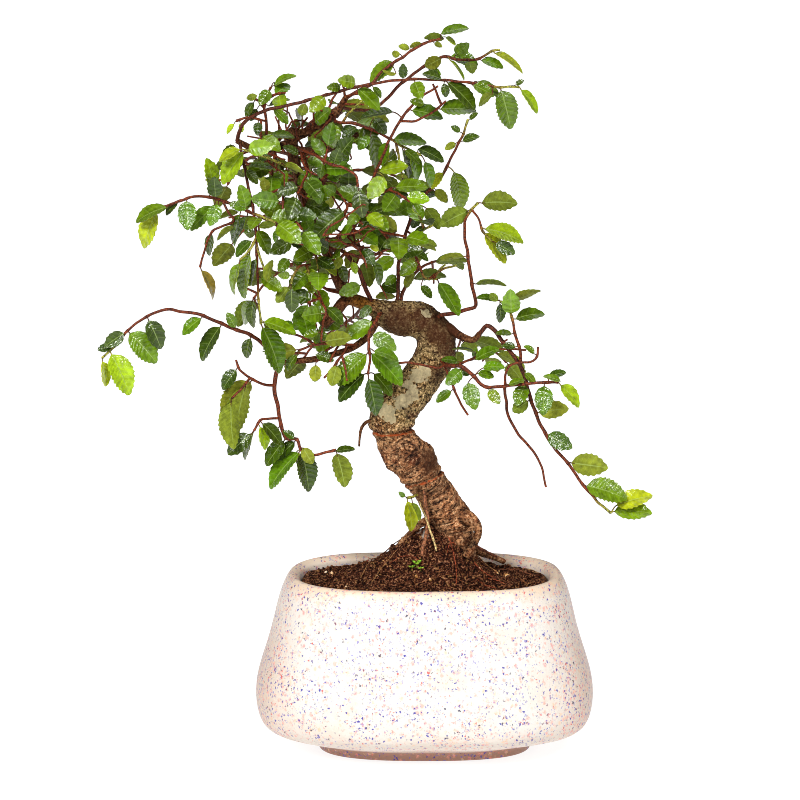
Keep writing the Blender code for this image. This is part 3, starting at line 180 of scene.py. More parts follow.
# What the fine leaves add: teeth on each side, their depth, the slant of the side veins, and pleats
TEETH = 10
SOME_TEETH = 7
FEW_TEETH = 5
TOOTH_DEPTH = 0.12
LONG_LEAF = 17.5
VEIN_SLANT = 0.15
PLEAT = 0.024
LEAF_OUTLINE = (
    (0.0, 0.0), (0.04, 0.36), (0.10, 0.62), (0.20, 0.86), (0.32, 0.98), (0.44, 1.03), (0.56, 1.0),
    (0.68, 0.88), (0.80, 0.66), (0.90, 0.38), (0.96, 0.17), (1.0, 0.0),
)
LEAF_COLUMNS = 4
LEAF_CREASE = 65.0
STEM_SLIMNESS = 0.80
PETIOLE_RADIUS = 0.30

# How close the points along wood lie, and the corners round each kind of wood
CLOSE_STEP = 1.5
TRUNK_SIDES = 28
LIMB_SIDES = 14
ROOT_SIDES = 8
STEM_SIDES = 7
SLIM_SIDES = 5

# The trunk and what grew thick on it: picture column, picture row, depth, radius
TRUNK = (
    (455, 590, 5, 8.6), (453, 566, 5, 10.4), (451, 545, 5, 10.8), (448, 520, 4, 9.6), (437, 497, 2, 8.4),
    (425, 478, 0, 8.7), (412, 460, -2, 9.4), (400, 445, -3, 9.1), (394, 433, -3, 8.6), (392, 420, -3, 9.8),
    (398, 408, -3, 9.3), (410, 393, -2, 8.6), (424, 375, 0, 8.6), (434, 358, 2, 8.9), (436, 342, 3, 8.9),
    (430, 328, 3, 8.6), (418, 320, 2, 8.3), (404, 318, 1, 8.0), (390, 315, 0, 7.0), (377, 309, 0, 4.6),
    (362, 303, 1, 3.1), (347, 295, 3, 2.8), (336, 275, 5, 2.6), (325, 248, 7, 2.5), (312, 220, 9, 2.4),
    (303, 195, 10, 2.4), (297, 170, 10, 2.4), (292, 150, 9, 2.6), (292, 136, 8, 3.0), (294, 128, 8, 1.6),
)
LIMBS = {
    "root_left": ((434, 518, -1, 2.3), (422, 523, 0, 1.9), (413, 530, 1, 1.8), (404, 539, 1, 1.5),
                  (394, 550, 2, 1.2), (384, 560, 2, 1.0), (374, 571, 2, 0.9)),
    "root_front": ((434, 516, -1, 1.4), (427, 524, -8, 1.2), (425, 536, -12, 1.1), (422, 549, -16, 1.0),
                   (420, 558, -17, 0.9)),
    "root_front_slim": ((436, 517, -2, 1.2), (430, 526, -9, 1.0), (433, 539, -13, 1.0), (436, 550, -16, 0.9)),
    "root_knuckle": ((458, 515, 0, 4.0), (473, 521, -3, 3.0), (478, 530, -5, 2.7), (471, 541, -7, 2.5),
                     (464, 556, -8, 2.2)),
    "root_stub": ((475, 527, -5, 2.2), (465, 535, -10, 2.1), (456, 543, -13, 1.9)),
    "root_right": ((466, 538, 8, 2.6), (478, 551, 14, 1.8), (491, 556, 19, 1.5), (505, 562, 22, 1.3)),
    "root_back": ((446, 535, 10, 3.2), (428, 545, 22, 2.2), (410, 560, 28, 1.6), (398, 575, 30, 1.2)),
    "twig_broken": ((380, 424, -4, 1.1), (369, 421, -6, 0.9), (362, 427, -7, 0.8), (360, 435, -7, 0.7),
                    (359, 447, -7, 0.6)),
    "stub_amber": ((360, 302, 1, 2.6), (346, 300, -4, 2.5), (335, 313, -8, 2.4), (323, 326, -11, 2.2)),
    "limb_low": ((380, 312, 0, 2.4), (368, 335, -6, 1.8), (354, 347, -10, 1.5), (338, 353, -13, 1.4),
                 (315, 359, -16, 1.4), (297, 361, -18, 1.3), (277, 364, -20, 1.3)),
    "limb_top": ((293, 138, 8, 2.2), (310, 130, 6, 2.0), (334, 115, 4, 1.8), (347, 96, 3, 1.4)),
    "limb_bar": ((294, 150, 9, 2.0), (322, 151, 2, 1.7), (345, 141, -5, 1.4), (358, 134, -8, 1.2)),
    "limb_left": ((293, 142, 8, 2.2), (276, 147, -2, 1.8), (256, 149, -11, 1.5), (237, 141, -17, 1.3)),
    "limb_mid": ((327, 251, 7, 2.0), (340, 237, -3, 1.6), (354, 220, -9, 1.4), (366, 198, -14, 1.2)),
    "limb_right": ((434, 336, 3, 2.8), (446, 326, 0, 1.9), (459, 335, -4, 1.7), (473, 340, -7, 1.5),
                   (480, 333, -9, 1.4)),
}
KNOBS = (  # picture column, picture row, depth, spread, height
    (437, 452, -4, 5.0, 1.6), (388, 468, -5, 4.0, 1.6), (381, 425, -5, 5.0, 1.2), (408, 483, -4, 5.0, 0.9),
    (430, 400, -4, 5.0, 1.1), (448, 340, -2, 6.0, 0.9), (412, 372, -6, 4.5, 0.8), (463, 512, 2, 6.0, 1.6),
)
KNOB_FULL_RADIUS = 8.0
GNARL_SPREAD = 11.0
GNARL_HEIGHT = 1.1
THICK_RADIUS = 4.5
WALK_SCALE = 400.0
# How slowly the creases in the bark change round the trunk against up it
ALONG_BARK = 0.16
# Folds of old bark: how far up the trunk their middle is, half their span, their height; then how far
# up the trunk the red-brown bark reaches
FOLDS = (66.0, 11.0, 0.5)
RED_BELOW = 92.0

# Rings where the bark once grew over a tie, with their lean in degrees, the swirl round an old knot,
# pale lichen patches and dark patches: picture column, picture row, depth, then spread in mm
RING_SCARS = ((396, 428.5, -3, 3), (424, 476.5, 0, 20))
KNOT = (409, 447, -11)
KNOT_SPREAD = 4.4
LICHENS = (
    (386, 412, -12, 3.6), (391, 417, -12, 2.6), (404, 400, -11, 3.8), (412, 395, -10, 3.4),
    (419, 375, -9, 3.6), (425, 369, -8, 3.0), (409, 386, -9, 2.4), (426, 313, -4, 2.2),
    (396, 385, 4, 5.0), (440, 360, 12, 5.0), (400, 470, 9, 4.0),
)
DARK_PATCHES = (
    (440, 328, -4, 9.0), (447, 345, -2, 7.0), (421, 328, -9, 5.0), (434, 372, -4, 4.5),
    (430, 462, -7, 6.0), (412, 350, 8, 9.0), (452, 540, 3, 8.0), (398, 322, -6, 8.0),
    (424, 316, -6, 6.0),
)
AMBER_BARK = (362, 303, -2, 9.0)
# Roots and knuckle drawn finer than their solids, and the two that hang free in front of the trunk
FINE_LIMBS = {
    "root_left": ((434, 518, -1, 2.2), (422, 523, 0, 1.7), (413, 531, 1, 1.4), (403, 540, 1, 1.1),
                  (394, 550, 2, 0.9), (384, 560, 2, 0.8), (374, 571, 2, 0.8)),
    "root_knuckle": ((458, 515, 0, 4.0), (470, 519, -3, 3.0), (477, 525, -5, 2.1), (478, 534, -6, 1.9),
                     (472, 546, -7, 2.1), (465, 557, -8, 2.2)),
    "root_stub": ((476, 524, -5, 1.6), (470, 531, -9, 1.4), (463, 538, -12, 1.4), (456, 544, -14, 1.2)),
}
AERIAL_ROOTS = (
    ("#7d4c30", ((423.5, 489, -6.4, 0.70), (425, 500, -7.4, 0.80), (427, 512, -8.6, 0.80),
                 (427.5, 522, -10.0, 0.78), (426, 535, -12.5, 0.80), (423, 548, -16, 0.80),
                 (422, 556, -18, 0.7))),
    ("#b39a66", ((418.5, 499, -1.0, 0.40), (423, 511, -7.0, 0.45), (427.5, 522, -11.4, 0.50),
                 (431, 533, -13.8, 0.50), (434.5, 543, -16.4, 0.48), (436, 551, -18, 0.4))),
    ("#6a3a26", ((471, 540, -1.0, 0.8), (478, 547, 2.0, 0.7), (487, 552, 5.0, 0.6), (497, 557, 8.0, 0.5))),
)

# Leafy shoots: name, leaves added by rule, stems, leaves. A stem is its first and last radius and its
# route. A leaf is the column and row of its base, those of its tip, the width it shows, and its look:
# d dark, g green, b bright, y young, p parched, all seen from above, and u seen from below.
SHOOTS = (
    ("shoot_top_arch", 0, (
        (1.1, 0.6, ((238, 141, -17), (240, 130, -20), (246, 121, -24), (258, 114, -28), (275, 108, -31),
                    (306, 101, -33), (330, 94, -33), (355, 87, -33), (400, 80, -32), (445, 80, -30),
                    (489, 86, -27), (519, 87, -24))),
    ), (
        (305, 102, 301, 113, 10, "u"), (326, 94, 312, 108, 14, "b"), (340, 87, 327, 88, 9, "g"),
        (355, 83, 338, 80, 13, "b"), (355, 86, 377, 107, 14, "g"), (415, 79, 421, 95, 14, "g"),
        (444, 79, 471, 107, 15, "d"), (470, 86, 491, 97, 11, "g"), (472, 83, 509, 84, 16, "g"),
        (492, 92, 471, 107, 6, "u"), (499, 89, 509, 128, 22, "g"), (519, 87, 536, 110, 9, "y"),
        (444, 84, 446, 98, 8, "d"), (372, 86, 380, 97, 6, "d"), (513, 86, 521, 81, 5, "d"),
        (446, 77, 427, 71, 8, "d"),
    )),
    ("shoot_top_sprig", 0, (
        (1.0, 0.6, ((346, 98, 3), (358, 90, 4), (372, 83, 5), (380, 72, 6), (397, 60, 8), (410, 51, 9),
                    (425, 42, 10), (440, 38, 12))),
    ), (
        (441, 34, 469, 29, 10, "g"), (444, 40, 424, 39, 8, "u"), (397, 60, 373, 82, 9, "g"),
        (396, 72, 381, 74, 10, "u"), (400, 54, 392, 54, 7, "u"), (411, 50, 400, 47, 6, "u"),
        (425, 42, 413, 46, 5, "u"), (430, 42, 438, 46, 5, "u"), (446, 38, 456, 46, 5, "y"),
    )),
    ("shoot_top_dark", 1, (
        (1.0, 0.6, ((340, 106, 4), (358, 110, 12), (377, 107, 16), (403, 82, 20), (427, 65, 23),
                    (444, 57, 24), (460, 60, 24), (478, 59, 24), (492, 51, 24), (500, 50, 24))),
    ), (
        (443, 57, 427, 65, 13, "u"), (456, 55, 470, 43, 14, "g"),
        (446, 58, 475, 67, 13, "g"), (446, 60, 466, 76, 10, "b"), (494, 52, 522, 72, 9, "y"),
        (496, 54, 502, 67, 9, "u"), (478, 60, 500, 68, 10, "g"), (404, 82, 404, 67, 9, "d"),
        (427, 68, 440, 75, 6, "g"),
    )),
    ("shoot_red", 0, (
        (1.0, 0.6, ((366, 198, -14), (372, 181, -17), (379, 165, -19), (389, 140, -21), (406, 113, -20),
                    (421, 97, -18), (438, 86, -17))),
        (0.7, 0.6, ((402, 123, -20), (415, 121, -24), (434, 111, -26), (446, 101, -26))),
        (0.7, 0.6, ((368, 195, -15), (380, 194, -19), (392, 188, -21))),
    ), (
        (438, 111, 474, 112, 16, "g"), (407, 110, 438, 118, 15, "g"), (393, 112, 360, 117, 8, "d"),
        (377, 172, 406, 167, 13, "b"), (384, 177, 369, 198, 17, "b"), (366, 200, 336, 186, 17, "g"),
        (366, 201, 333, 209, 10, "u"), (393, 188, 425, 188, 14, "g"), (379, 197, 407, 198, 11, "d"),
        (376, 197, 391, 193, 6, "b"), (424, 104, 410, 100, 8, "g"),
    )),
    ("shoot_bar", 0, (
        (0.9, 0.6, ((334, 116, 4), (337, 122, -4), (356, 124, -9), (375, 131, -11), (390, 139, -12),
                    (405, 148, -12), (421, 155, -12))),
    ), (
        (333, 124, 333, 147, 16, "g"), (328, 133, 310, 139, 7, "u"), (356, 128, 342, 137, 9, "d"),
        (370, 136, 358, 149, 10, "g"), (374, 118, 386, 134, 12, "d"), (354, 122, 387, 131, 10, "g"),
        (391, 137, 424, 141, 14, "g"), (371, 134, 376, 171, 13, "g"), (388, 141, 381, 166, 10, "g"),
        (402, 146, 408, 174, 8, "d"), (411, 150, 416, 177, 11, "g"), (404, 144, 420, 158, 9, "d"),
        (418, 149, 444, 162, 15, "d"), (425, 162, 431, 187, 11, "g"),
    )),
    ("shoot_right_crown", 0, (
        (1.1, 0.6, ((400, 306, 1), (398, 281, 3), (399, 262, 5), (403, 244, 6), (410, 221, 8), (420, 199, 10),
                    (433, 187, 11), (447, 166, 12), (456, 148, 13), (463, 134, 14), (468, 119, 15))),
        (0.7, 0.6, ((404, 242, 6), (414, 253, 2), (420, 266, 0), (424, 277, -1), (437, 279, -3))),
        (0.6, 0.6, ((407, 230, 7), (415, 235, 2), (424, 230, -1), (433, 225, -2))),
    ), (
        (422, 201, 402, 214, 16, "g"), (421, 211, 412, 229, 12, "d"), (437, 195, 413, 197, 11, "d"),
        (402, 214, 376, 207, 13, "b"), (408, 240, 436, 251, 8, "u"), (413, 248, 426, 256, 6, "d"),
        (394, 258, 374, 271, 14, "b"), (417, 258, 403, 271, 14, "g"), (396, 249, 383, 250, 7, "b"),
        (396, 275, 386, 284, 9, "g"), (437, 279, 455, 313, 17, "g"), (421, 286, 432, 298, 8, "d"),
        (454, 172, 460, 212, 17, "b"), (434, 190, 446, 203, 10, "u"),
        (426, 208, 440, 229, 14, "u"), (420, 241, 437, 246, 6, "u"),
        (447, 172, 435, 188, 9, "y"), (461, 142, 478, 137, 8, "d"), (461, 143, 450, 149, 7, "u"),
        (463, 133, 454, 127, 6, "d"), (468, 123, 476, 116, 5, "d"), (429, 227, 417, 231, 5, "d"),
    )),
    ("shoot_right_tall", 0, (
        (1.2, 0.7, ((428, 326, 2), (440, 316, -2), (452, 314, -3), (468, 309, -4), (476, 305, -5),
                    (473, 290, -5), (470, 270, -5), (467, 250, -5), (465, 235, -5), (465, 222, -6),
                    (470, 212, -6), (478, 203, -7))),
        (0.6, 0.6, ((472, 209, -6), (478, 218, -10), (483, 231, -11), (492, 241, -12))),
    ), (
        (474, 284, 505, 286, 6, "u"), (470, 207, 441, 222, 18, "u"), (479, 205, 515, 205, 18, "u"),
        (484, 226, 523, 239, 15, "b"), (482, 232, 503, 262, 16, "y"), (487, 230, 499, 247, 7, "y"),
        (496, 243, 515, 254, 13, "d"), (466, 255, 440, 258, 6, "u"),
    )),
    ("shoot_right_trailer", 0, (
        (1.3, 0.7, ((479, 333, -9), (487, 326, -10), (495, 331, -11), (502, 341, -12), (513, 355, -14),
                    (522, 370, -15), (529, 392, -17), (534, 410, -19), (545, 433, -21), (556, 450, -22),
                    (570, 466, -23), (583, 485, -24), (598, 502, -25), (611, 513, -25))),
        (0.9, 0.6, ((521, 366, -15), (520, 350, -14), (516, 337, -13), (513, 323, -12), (509, 310, -11),
                    (500, 301, -10))),
    ), (
        (536, 412, 566, 408, 17, "u"), (545, 433, 568, 446, 17, "d"), (567, 462, 604, 467, 22, "u"),
        (582, 484, 623, 497, 22, "g"), (617, 507, 653, 497, 18, "y"), (613, 514, 651, 516, 18, "b"),
        (600, 505, 628, 531, 8, "d"), (498, 301, 478, 298, 7, "d"), (498, 303, 498, 322, 9, "d"),
        (511, 316, 510, 290, 18, "b"), (515, 318, 544, 313, 11, "d"), (511, 302, 541, 291, 8, "u"),
        (515, 335, 499, 334, 6, "d"), (521, 346, 507, 345, 7, "d"), (527, 381, 519, 400, 15, "g"),
        (530, 398, 515, 408, 13, "u"), (522, 371, 533, 382, 7, "g"), (503, 299, 494, 291, 8, "u"),
    )),
    ("shoot_right_low", 0, (
        (1.2, 0.7, ((436, 352, 0), (446, 364, -9), (461, 364, -12), (474, 374, -13), (484, 384, -14),
                    (504, 384, -15), (526, 381, -16), (544, 380, -17), (558, 380, -18))),
        (0.9, 0.6, ((504, 384, -15), (506, 400, -16), (509, 419, -17), (521, 437, -18), (533, 451, -18),
                    (541, 465, -19), (546, 487, -19))),
        (0.7, 0.6, ((502, 384, -15), (506, 372, -18), (514, 364, -19), (530, 362, -20), (537, 356, -20),
                    (538, 347, -20))),
        (0.7, 0.6, ((446, 366, -9), (454, 389, -11), (461, 404, -12), (468, 415, -12))),
        (0.7, 0.6, ((448, 365, -10), (440, 368, -13), (428, 366, -14), (412, 363, -15), (396, 363, -14))),
        (0.7, 0.6, ((462, 364, -12), (474, 358, -9), (484, 352, -8), (500, 349, -8), (526, 350, -8))),
    ), (
        (480, 352, 455, 346, 7, "d"), (470, 357, 495, 345, 11, "g"), (476, 362, 471, 349, 9, "g"),
        (462, 362, 445, 360, 7, "d"), (483, 368, 505, 367, 10, "g"), (463, 369, 448, 383, 14, "g"),
        (475, 377, 462, 373, 8, "d"), (478, 374, 494, 378, 8, "g"), (456, 388, 441, 399, 9, "g"),
        (468, 383, 475, 408, 17, "g"), (488, 385, 498, 398, 11, "b"), (546, 381, 545, 408, 18, "g"),
        (549, 377, 566, 372, 7, "d"), (558, 379, 577, 401, 13, "y"), (506, 383, 522, 378, 6, "g"),
        (535, 356, 525, 348, 5, "g"), (560, 379, 542, 374, 6, "g"),
    )),
    ("shoot_left_trailer", 0, (
        (1.1, 0.6, ((281, 363, -20), (266, 347, -22), (251, 335, -24), (237, 330, -26), (225, 325, -28),
                    (213, 320, -30), (200, 315, -31), (180, 311, -32), (169, 309, -33), (158, 311, -33),
                    (147, 317, -34), (137, 323, -34), (127, 331, -35), (115, 346, -35), (102, 358, -35))),
    ), (
        (126, 332, 107, 345, 14, "d"), (129, 334, 156, 364, 22, "g"), (148, 319, 161, 348, 18, "d"),
        (111, 352, 129, 393, 22, "y"), (101, 360, 104, 385, 8, "y"), (113, 346, 99, 349, 8, "d"),
        (205, 317, 186, 333, 12, "g"), (222, 326, 203, 360, 14, "d"), (236, 329, 228, 314, 10, "g"),
        (250, 336, 246, 356, 10, "d"),
    )),
    ("shoot_left_drop", 0, (
        (1.3, 0.7, ((279, 364, -20), (275, 378, -21), (275, 393, -22), (278, 407, -23), (281, 422, -24),
                    (286, 438, -25), (297, 440, -26), (301, 450, -27), (315, 455, -27), (336, 450, -27))),
        (0.8, 0.6, ((275, 387, -22), (262, 384, -26), (250, 378, -28), (240, 370, -29), (236, 360, -29))),
        (0.7, 0.6, ((249, 378, -28), (242, 388, -32), (232, 398, -34))),
        (0.7, 0.6, ((279, 420, -24), (268, 419, -27), (260, 421, -29), (254, 431, -30))),
    ), (
        (236, 366, 222, 386, 13, "d"), (251, 380, 222, 412, 20, "u"), (249, 382, 240, 430, 20, "u"),
        (232, 396, 220, 440, 12, "u"), (252, 430, 229, 450, 17, "d"), (260, 427, 266, 450, 9, "y"),
        (262, 422, 281, 443, 12, "d"), (278, 428, 261, 432, 8, "d"), (286, 438, 268, 463, 16, "d"),
        (300, 449, 271, 485, 15, "g"), (303, 447, 312, 462, 12, "u"), (300, 452, 307, 492, 18, "d"),
        (297, 440, 282, 455, 11, "d"), (338, 451, 346, 485, 18, "u"), (333, 449, 352, 447, 6, "d"),
        (254, 432, 245, 459, 7, "g"), (296, 438, 285, 430, 7, "d"), (296, 455, 303, 479, 9, "y"),
    )),
    ("shoot_left_hanging", 0, (
        (0.9, 0.6, ((240, 142, -17), (243, 160, -21), (247, 181, -24), (252, 204, -27), (256, 234, -29),
                    (257, 262, -31), (258, 290, -32), (261, 324, -32))),
        (0.7, 0.6, ((257, 246, -30), (261, 260, -33), (266, 273, -35))),
        (0.7, 0.6, ((256, 238, -30), (250, 250, -33), (240, 260, -35))),
    ), (
        (254, 301, 253, 328, 11, "d"), (261, 319, 293, 331, 13, "b"), (258, 326, 276, 372, 20, "g"),
        (262, 327, 282, 344, 9, "y"), (254, 306, 231, 339, 13, "g"), (246, 207, 240, 184, 13, "g"),
        (259, 227, 271, 251, 12, "g"), (259, 226, 276, 223, 6, "u"), (253, 222, 246, 232, 8, "d"),
        (251, 241, 236, 257, 10, "d"), (250, 252, 245, 297, 13, "g"), (239, 260, 233, 291, 9, "g"),
        (255, 254, 250, 280, 8, "g"), (257, 277, 279, 291, 13, "g"), (267, 281, 272, 259, 8, "u"),
        (246, 167, 257, 181, 9, "d"), (246, 165, 272, 168, 6, "d"),
    )),
    ("shoot_left_arm", 0, (
        (1.3, 0.6, ((374, 304, 0), (366, 290, -3), (357, 268, -5), (344, 252, -6), (329, 247, -7),
                    (312, 243, -8), (295, 234, -8), (282, 228, -8), (254, 214, -10), (223, 201, -12),
                    (194, 196, -14), (180, 201, -15), (158, 209, -15), (150, 211, -15))),
        (0.7, 0.6, ((222, 202, -12), (228, 212, -15), (234, 221, -18), (220, 227, -19), (212, 231, -19),
                    (207, 243, -19), (203, 256, -19), (200, 267, -19))),
    ), (
        (168, 202, 137, 217, 12, "g"), (156, 210, 142, 246, 18, "y"), (186, 198, 187, 225, 18, "g"),
        (180, 202, 168, 214, 7, "d"), (214, 207, 191, 231, 13, "g"), (220, 198, 212, 218, 14, "g"),
        (212, 190, 206, 158, 13, "b"), (216, 198, 214, 176, 15, "d"), (213, 231, 210, 253, 9, "d"),
        (199, 268, 211, 297, 8, "p"), (227, 204, 240, 208, 8, "g"), (234, 226, 217, 240, 5, "u"),
        (238, 212, 219, 219, 6, "u"), (240, 214, 233, 242, 9, "d"), (247, 217, 234, 247, 8, "g"),
        (277, 230, 276, 243, 6, "g"), (291, 241, 271, 253, 15, "d"), (302, 244, 308, 228, 12, "d"),
        (362, 283, 341, 291, 14, "b"),
    )),
    ("shoot_front_low", 0, (
        (1.0, 0.6, ((382, 312, 0), (378, 316, -9), (370, 332, -15), (368, 346, -18), (370, 358, -20),
                    (368, 374, -21))),
    ), (
        (373, 319, 348, 336, 17, "g"), (384, 316, 388, 333, 17, "b"), (371, 334, 394, 350, 17, "g"),
        (367, 351, 338, 382, 21, "g"), (371, 352, 401, 384, 21, "g"), (374, 349, 400, 359, 9, "g"),
        (387, 303, 371, 310, 12, "b"), (364, 375, 338, 402, 17, "d"), (369, 374, 376, 411, 17, "d"),
        (374, 376, 393, 399, 14, "d"), (371, 306, 360, 317, 10, "d"),
    )),
    ("shoot_front_mid", 0, (
        (1.0, 0.6, ((350, 298, 2), (341, 297, -10), (328, 297, -17), (316, 293, -21), (307, 302, -23),
                    (300, 312, -24))),
        (0.7, 0.6, ((327, 297, -17), (325, 308, -22), (323, 322, -24), (321, 342, -25))),
        (0.7, 0.6, ((317, 293, -21), (316, 286, -25), (310, 282, -27))),
    ), (
        (321, 313, 303, 316, 17, "g"), (317, 283, 324, 306, 17, "g"), (309, 288, 301, 299, 9, "g"),
        (321, 333, 306, 337, 8, "g"), (322, 343, 349, 339, 15, "u"), (326, 304, 343, 321, 10, "d"),
    )),
    ("shoot_front_up", 0, (
        (0.9, 0.6, ((336, 272, 5), (338, 262, -8), (346, 254, -14), (360, 257, -17), (375, 259, -19),
                    (384, 250, -20))),
    ), (
        (379, 251, 370, 246, 6, "y"), (363, 249, 374, 264, 12, "d"), (344, 247, 326, 242, 9, "b"),
        (344, 255, 335, 267, 9, "u"), (338, 262, 345, 279, 10, "d"), (374, 263, 380, 286, 9, "g"),
        (352, 262, 356, 274, 7, "b"),
    )),
    ("shoot_crown_left", 0, (
        (0.9, 0.6, ((266, 148, -6), (267, 132, -8), (266, 118, -9), (264, 108, -9), (267, 97, -9),
                    (271, 87, -8))),
        (0.6, 0.6, ((266, 122, -9), (256, 119, -12), (246, 118, -14), (236, 121, -15))),
        (0.6, 0.6, ((264, 107, -9), (258, 101, -12), (253, 98, -13))),
    ), (
        (268, 85, 290, 75, 7, "g"), (270, 88, 261, 102, 12, "g"), (274, 84, 284, 99, 8, "g"),
        (257, 95, 247, 98, 7, "u"), (253, 101, 245, 116, 8, "d"), (257, 109, 250, 121, 8, "d"),
        (269, 106, 290, 99, 6, "g"), (274, 110, 288, 124, 9, "g"), (257, 121, 256, 133, 9, "d"),
        (235, 121, 228, 131, 5, "y"), (241, 120, 243, 129, 5, "y"), (266, 136, 290, 138, 8, "d"),
    )),
    ("shoot_young", 0, (
        (0.9, 0.6, ((300, 172, 10), (286, 166, -14), (268, 158, -24), (256, 154, -28), (245, 150, -30))),
    ), (
        (246, 149, 272, 145, 16, "b"), (243, 151, 222, 183, 18, "y"), (240, 149, 219, 161, 10, "y"),
        (281, 161, 305, 166, 10, "u"), (289, 168, 273, 192, 16, "g"),
    )),
    ("shoot_crown_front", 1, (
        (1.0, 0.6, ((295, 152, 9), (302, 150, -8), (315, 154, -18), (330, 163, -25), (346, 168, -28),
                    (355, 174, -29), (358, 186, -30))),
        (0.7, 0.6, ((302, 151, -8), (303, 162, -16), (310, 172, -21), (327, 177, -24))),
    ), (
        (301, 174, 320, 187, 15, "g"), (310, 176, 320, 203, 13, "g"), (334, 163, 340, 147, 13, "d"),
        (324, 157, 322, 172, 7, "d"), (304, 156, 288, 148, 8, "d"),
    )),
    ("shoot_crown_side", 1, (
        (0.9, 0.6, ((303, 195, 10), (295, 190, -10), (284, 188, -19), (270, 192, -24), (256, 200, -27))),
        (0.7, 0.6, ((281, 189, -20), (283, 199, -26), (283, 210, -29))),
    ), (
        (279, 201, 251, 198, 17, "g"), (266, 193, 263, 179, 10, "u"), (285, 192, 298, 220, 16, "g"),
        (283, 210, 291, 233, 12, "g"),
    )),
    ("shoot_front_left", 0, (
        (0.9, 0.6, ((322, 240, 8), (314, 248, -12), (309, 258, -22), (309, 272, -25))),
        (0.7, 0.6, ((310, 256, -21), (300, 266, -25), (293, 276, -28), (291, 284, -29))),
    ), (
        (308, 264, 312, 287, 17, "b"), (315, 258, 337, 275, 9, "y"), (293, 277, 281, 276, 8, "b"),
        (290, 282, 278, 297, 12, "u"), (292, 286, 293, 310, 14, "d"), (303, 252, 295, 266, 11, "g"),
        (288, 259, 279, 271, 11, "g"),
    )),
    ("shoot_front_centre", 0, (
        (1.0, 0.6, ((300, 178, 10), (308, 175, -8), (320, 182, -16), (344, 197, -19), (356, 207, -20),
                    (372, 221, -20), (385, 235, -20), (394, 247, -20))),
        (0.7, 0.6, ((342, 196, -19), (347, 206, -23), (345, 214, -26))),
    ), (
        (338, 196, 322, 191, 11, "g"), (322, 181, 338, 190, 7, "u"), (397, 232, 368, 216, 14, "u"),
        (397, 240, 384, 247, 10, "d"), (349, 210, 318, 237, 22, "d"), (352, 224, 342, 239, 8, "g"),
        (372, 212, 396, 205, 8, "d"),
    )),
    ("shoot_under", 0, (
        (1.0, 0.6, ((356, 346, -9), (345, 344, -14), (334, 343, -16), (318, 343, -18), (299, 349, -20))),
        (0.7, 0.6, ((334, 344, -16), (325, 352, -18), (316, 362, -19))),
        (0.7, 0.6, ((346, 345, -14), (342, 356, -18), (333, 368, -19), (324, 378, -20))),
    ), (
        (299, 349, 277, 352, 17, "u"), (315, 363, 314, 378, 12, "u"), (337, 362, 332, 381, 14, "u"),
        (316, 354, 334, 360, 10, "d"), (300, 352, 290, 368, 9, "d"),
    )),
    ("shoot_basal", 0, (
        (0.8, 0.6, ((424, 494, 0), (416, 495, -5), (411, 497, -7), (407, 498, -8))),
    ), (
        (408, 500, 412, 530, 13, "y"), (406, 497, 400, 492, 5, "g"), (410, 500, 418, 519, 6, "u"),
    )),
    ("shoot_back_top", 4, (
        (1.0, 0.6, ((300, 134, 7), (316, 118, 22), (334, 110, 38), (352, 110, 52), (366, 118, 62))),
    ), ()),
    ("shoot_back_left_high", 4, (
        (1.0, 0.6, ((294, 156, 10), (276, 152, 24), (254, 156, 38), (238, 168, 48), (228, 184, 54))),
    ), ()),
    ("shoot_back_left_mid", 4, (
        (1.0, 0.6, ((310, 214, 9), (294, 210, 26), (270, 214, 40), (248, 226, 48), (234, 242, 52))),
    ), ()),
    ("shoot_back_left_low", 4, (
        (1.0, 0.6, ((332, 264, 6), (314, 260, 22), (290, 266, 37), (268, 280, 46), (254, 298, 50))),
    ), ()),
    ("shoot_back_mid", 4, (
        (1.0, 0.6, ((326, 250, 7), (344, 238, 24), (364, 234, 40), (384, 240, 52), (398, 252, 60))),
    ), ()),
    ("shoot_back_right_high", 4, (
        (1.0, 0.6, ((302, 190, 10), (328, 178, 22), (356, 170, 34), (384, 172, 45), (408, 182, 53))),
    ), ()),
    ("shoot_back_right_mid", 4, (
        (1.0, 0.6, ((396, 308, 6), (404, 290, 22), (416, 272, 36), (432, 262, 46), (446, 262, 54))),
    ), ()),
    ("shoot_back_low", 4, (
        (1.0, 0.6, ((366, 304, 2), (352, 318, 20), (334, 330, 34), (316, 342, 44), (304, 358, 50))),
    ), ()),
    ("shoot_back_right_low", 4, (
        (1.0, 0.6, ((438, 340, 6), (452, 336, 20), (470, 338, 32), (490, 348, 42), (506, 362, 48))),
    ), ()),
    ("shoot_back_crown", 4, (
        (1.0, 0.6, ((300, 186, 12), (298, 172, 30), (304, 168, 46), (314, 174, 58), (322, 188, 66))),
    ), ()),
)

# Where the crown is dense in the picture, and how its older, younger and bare twigs are told apart
DENSE_CROWN = (
    (238, 128), (262, 110), (300, 104), (336, 108), (352, 148), (354, 196), (372, 214), (402, 216),
    (416, 244), (408, 300), (366, 318), (350, 352), (306, 350), (286, 332), (300, 300), (290, 262),
    (276, 232), (262, 190), (242, 160),
)
SPRIGGED = {
    "shoot_red": 2, "shoot_bar": 2, "shoot_right_crown": 3, "shoot_crown_front": 2,
    "shoot_crown_side": 3, "shoot_front_left": 2, "shoot_front_centre": 4, "shoot_front_mid": 2,
    "shoot_under": 3, "shoot_front_up": 2, "shoot_crown_left": 2, "shoot_left_hanging": 3,
}
BACK_SPRIGS = 5
INNER_SPRIGS = 20
BARE_TWIGS = 50
TWIG_ROOM = 4.2
BACK_DEPTH = 4.0
BARE_LENGTHS = (12.0, 30.0)
BARE_RADIUS = 0.62
SPRIG_RADIUS = 0.75
SPRIG_LENGTHS = (9.0, 17.0)
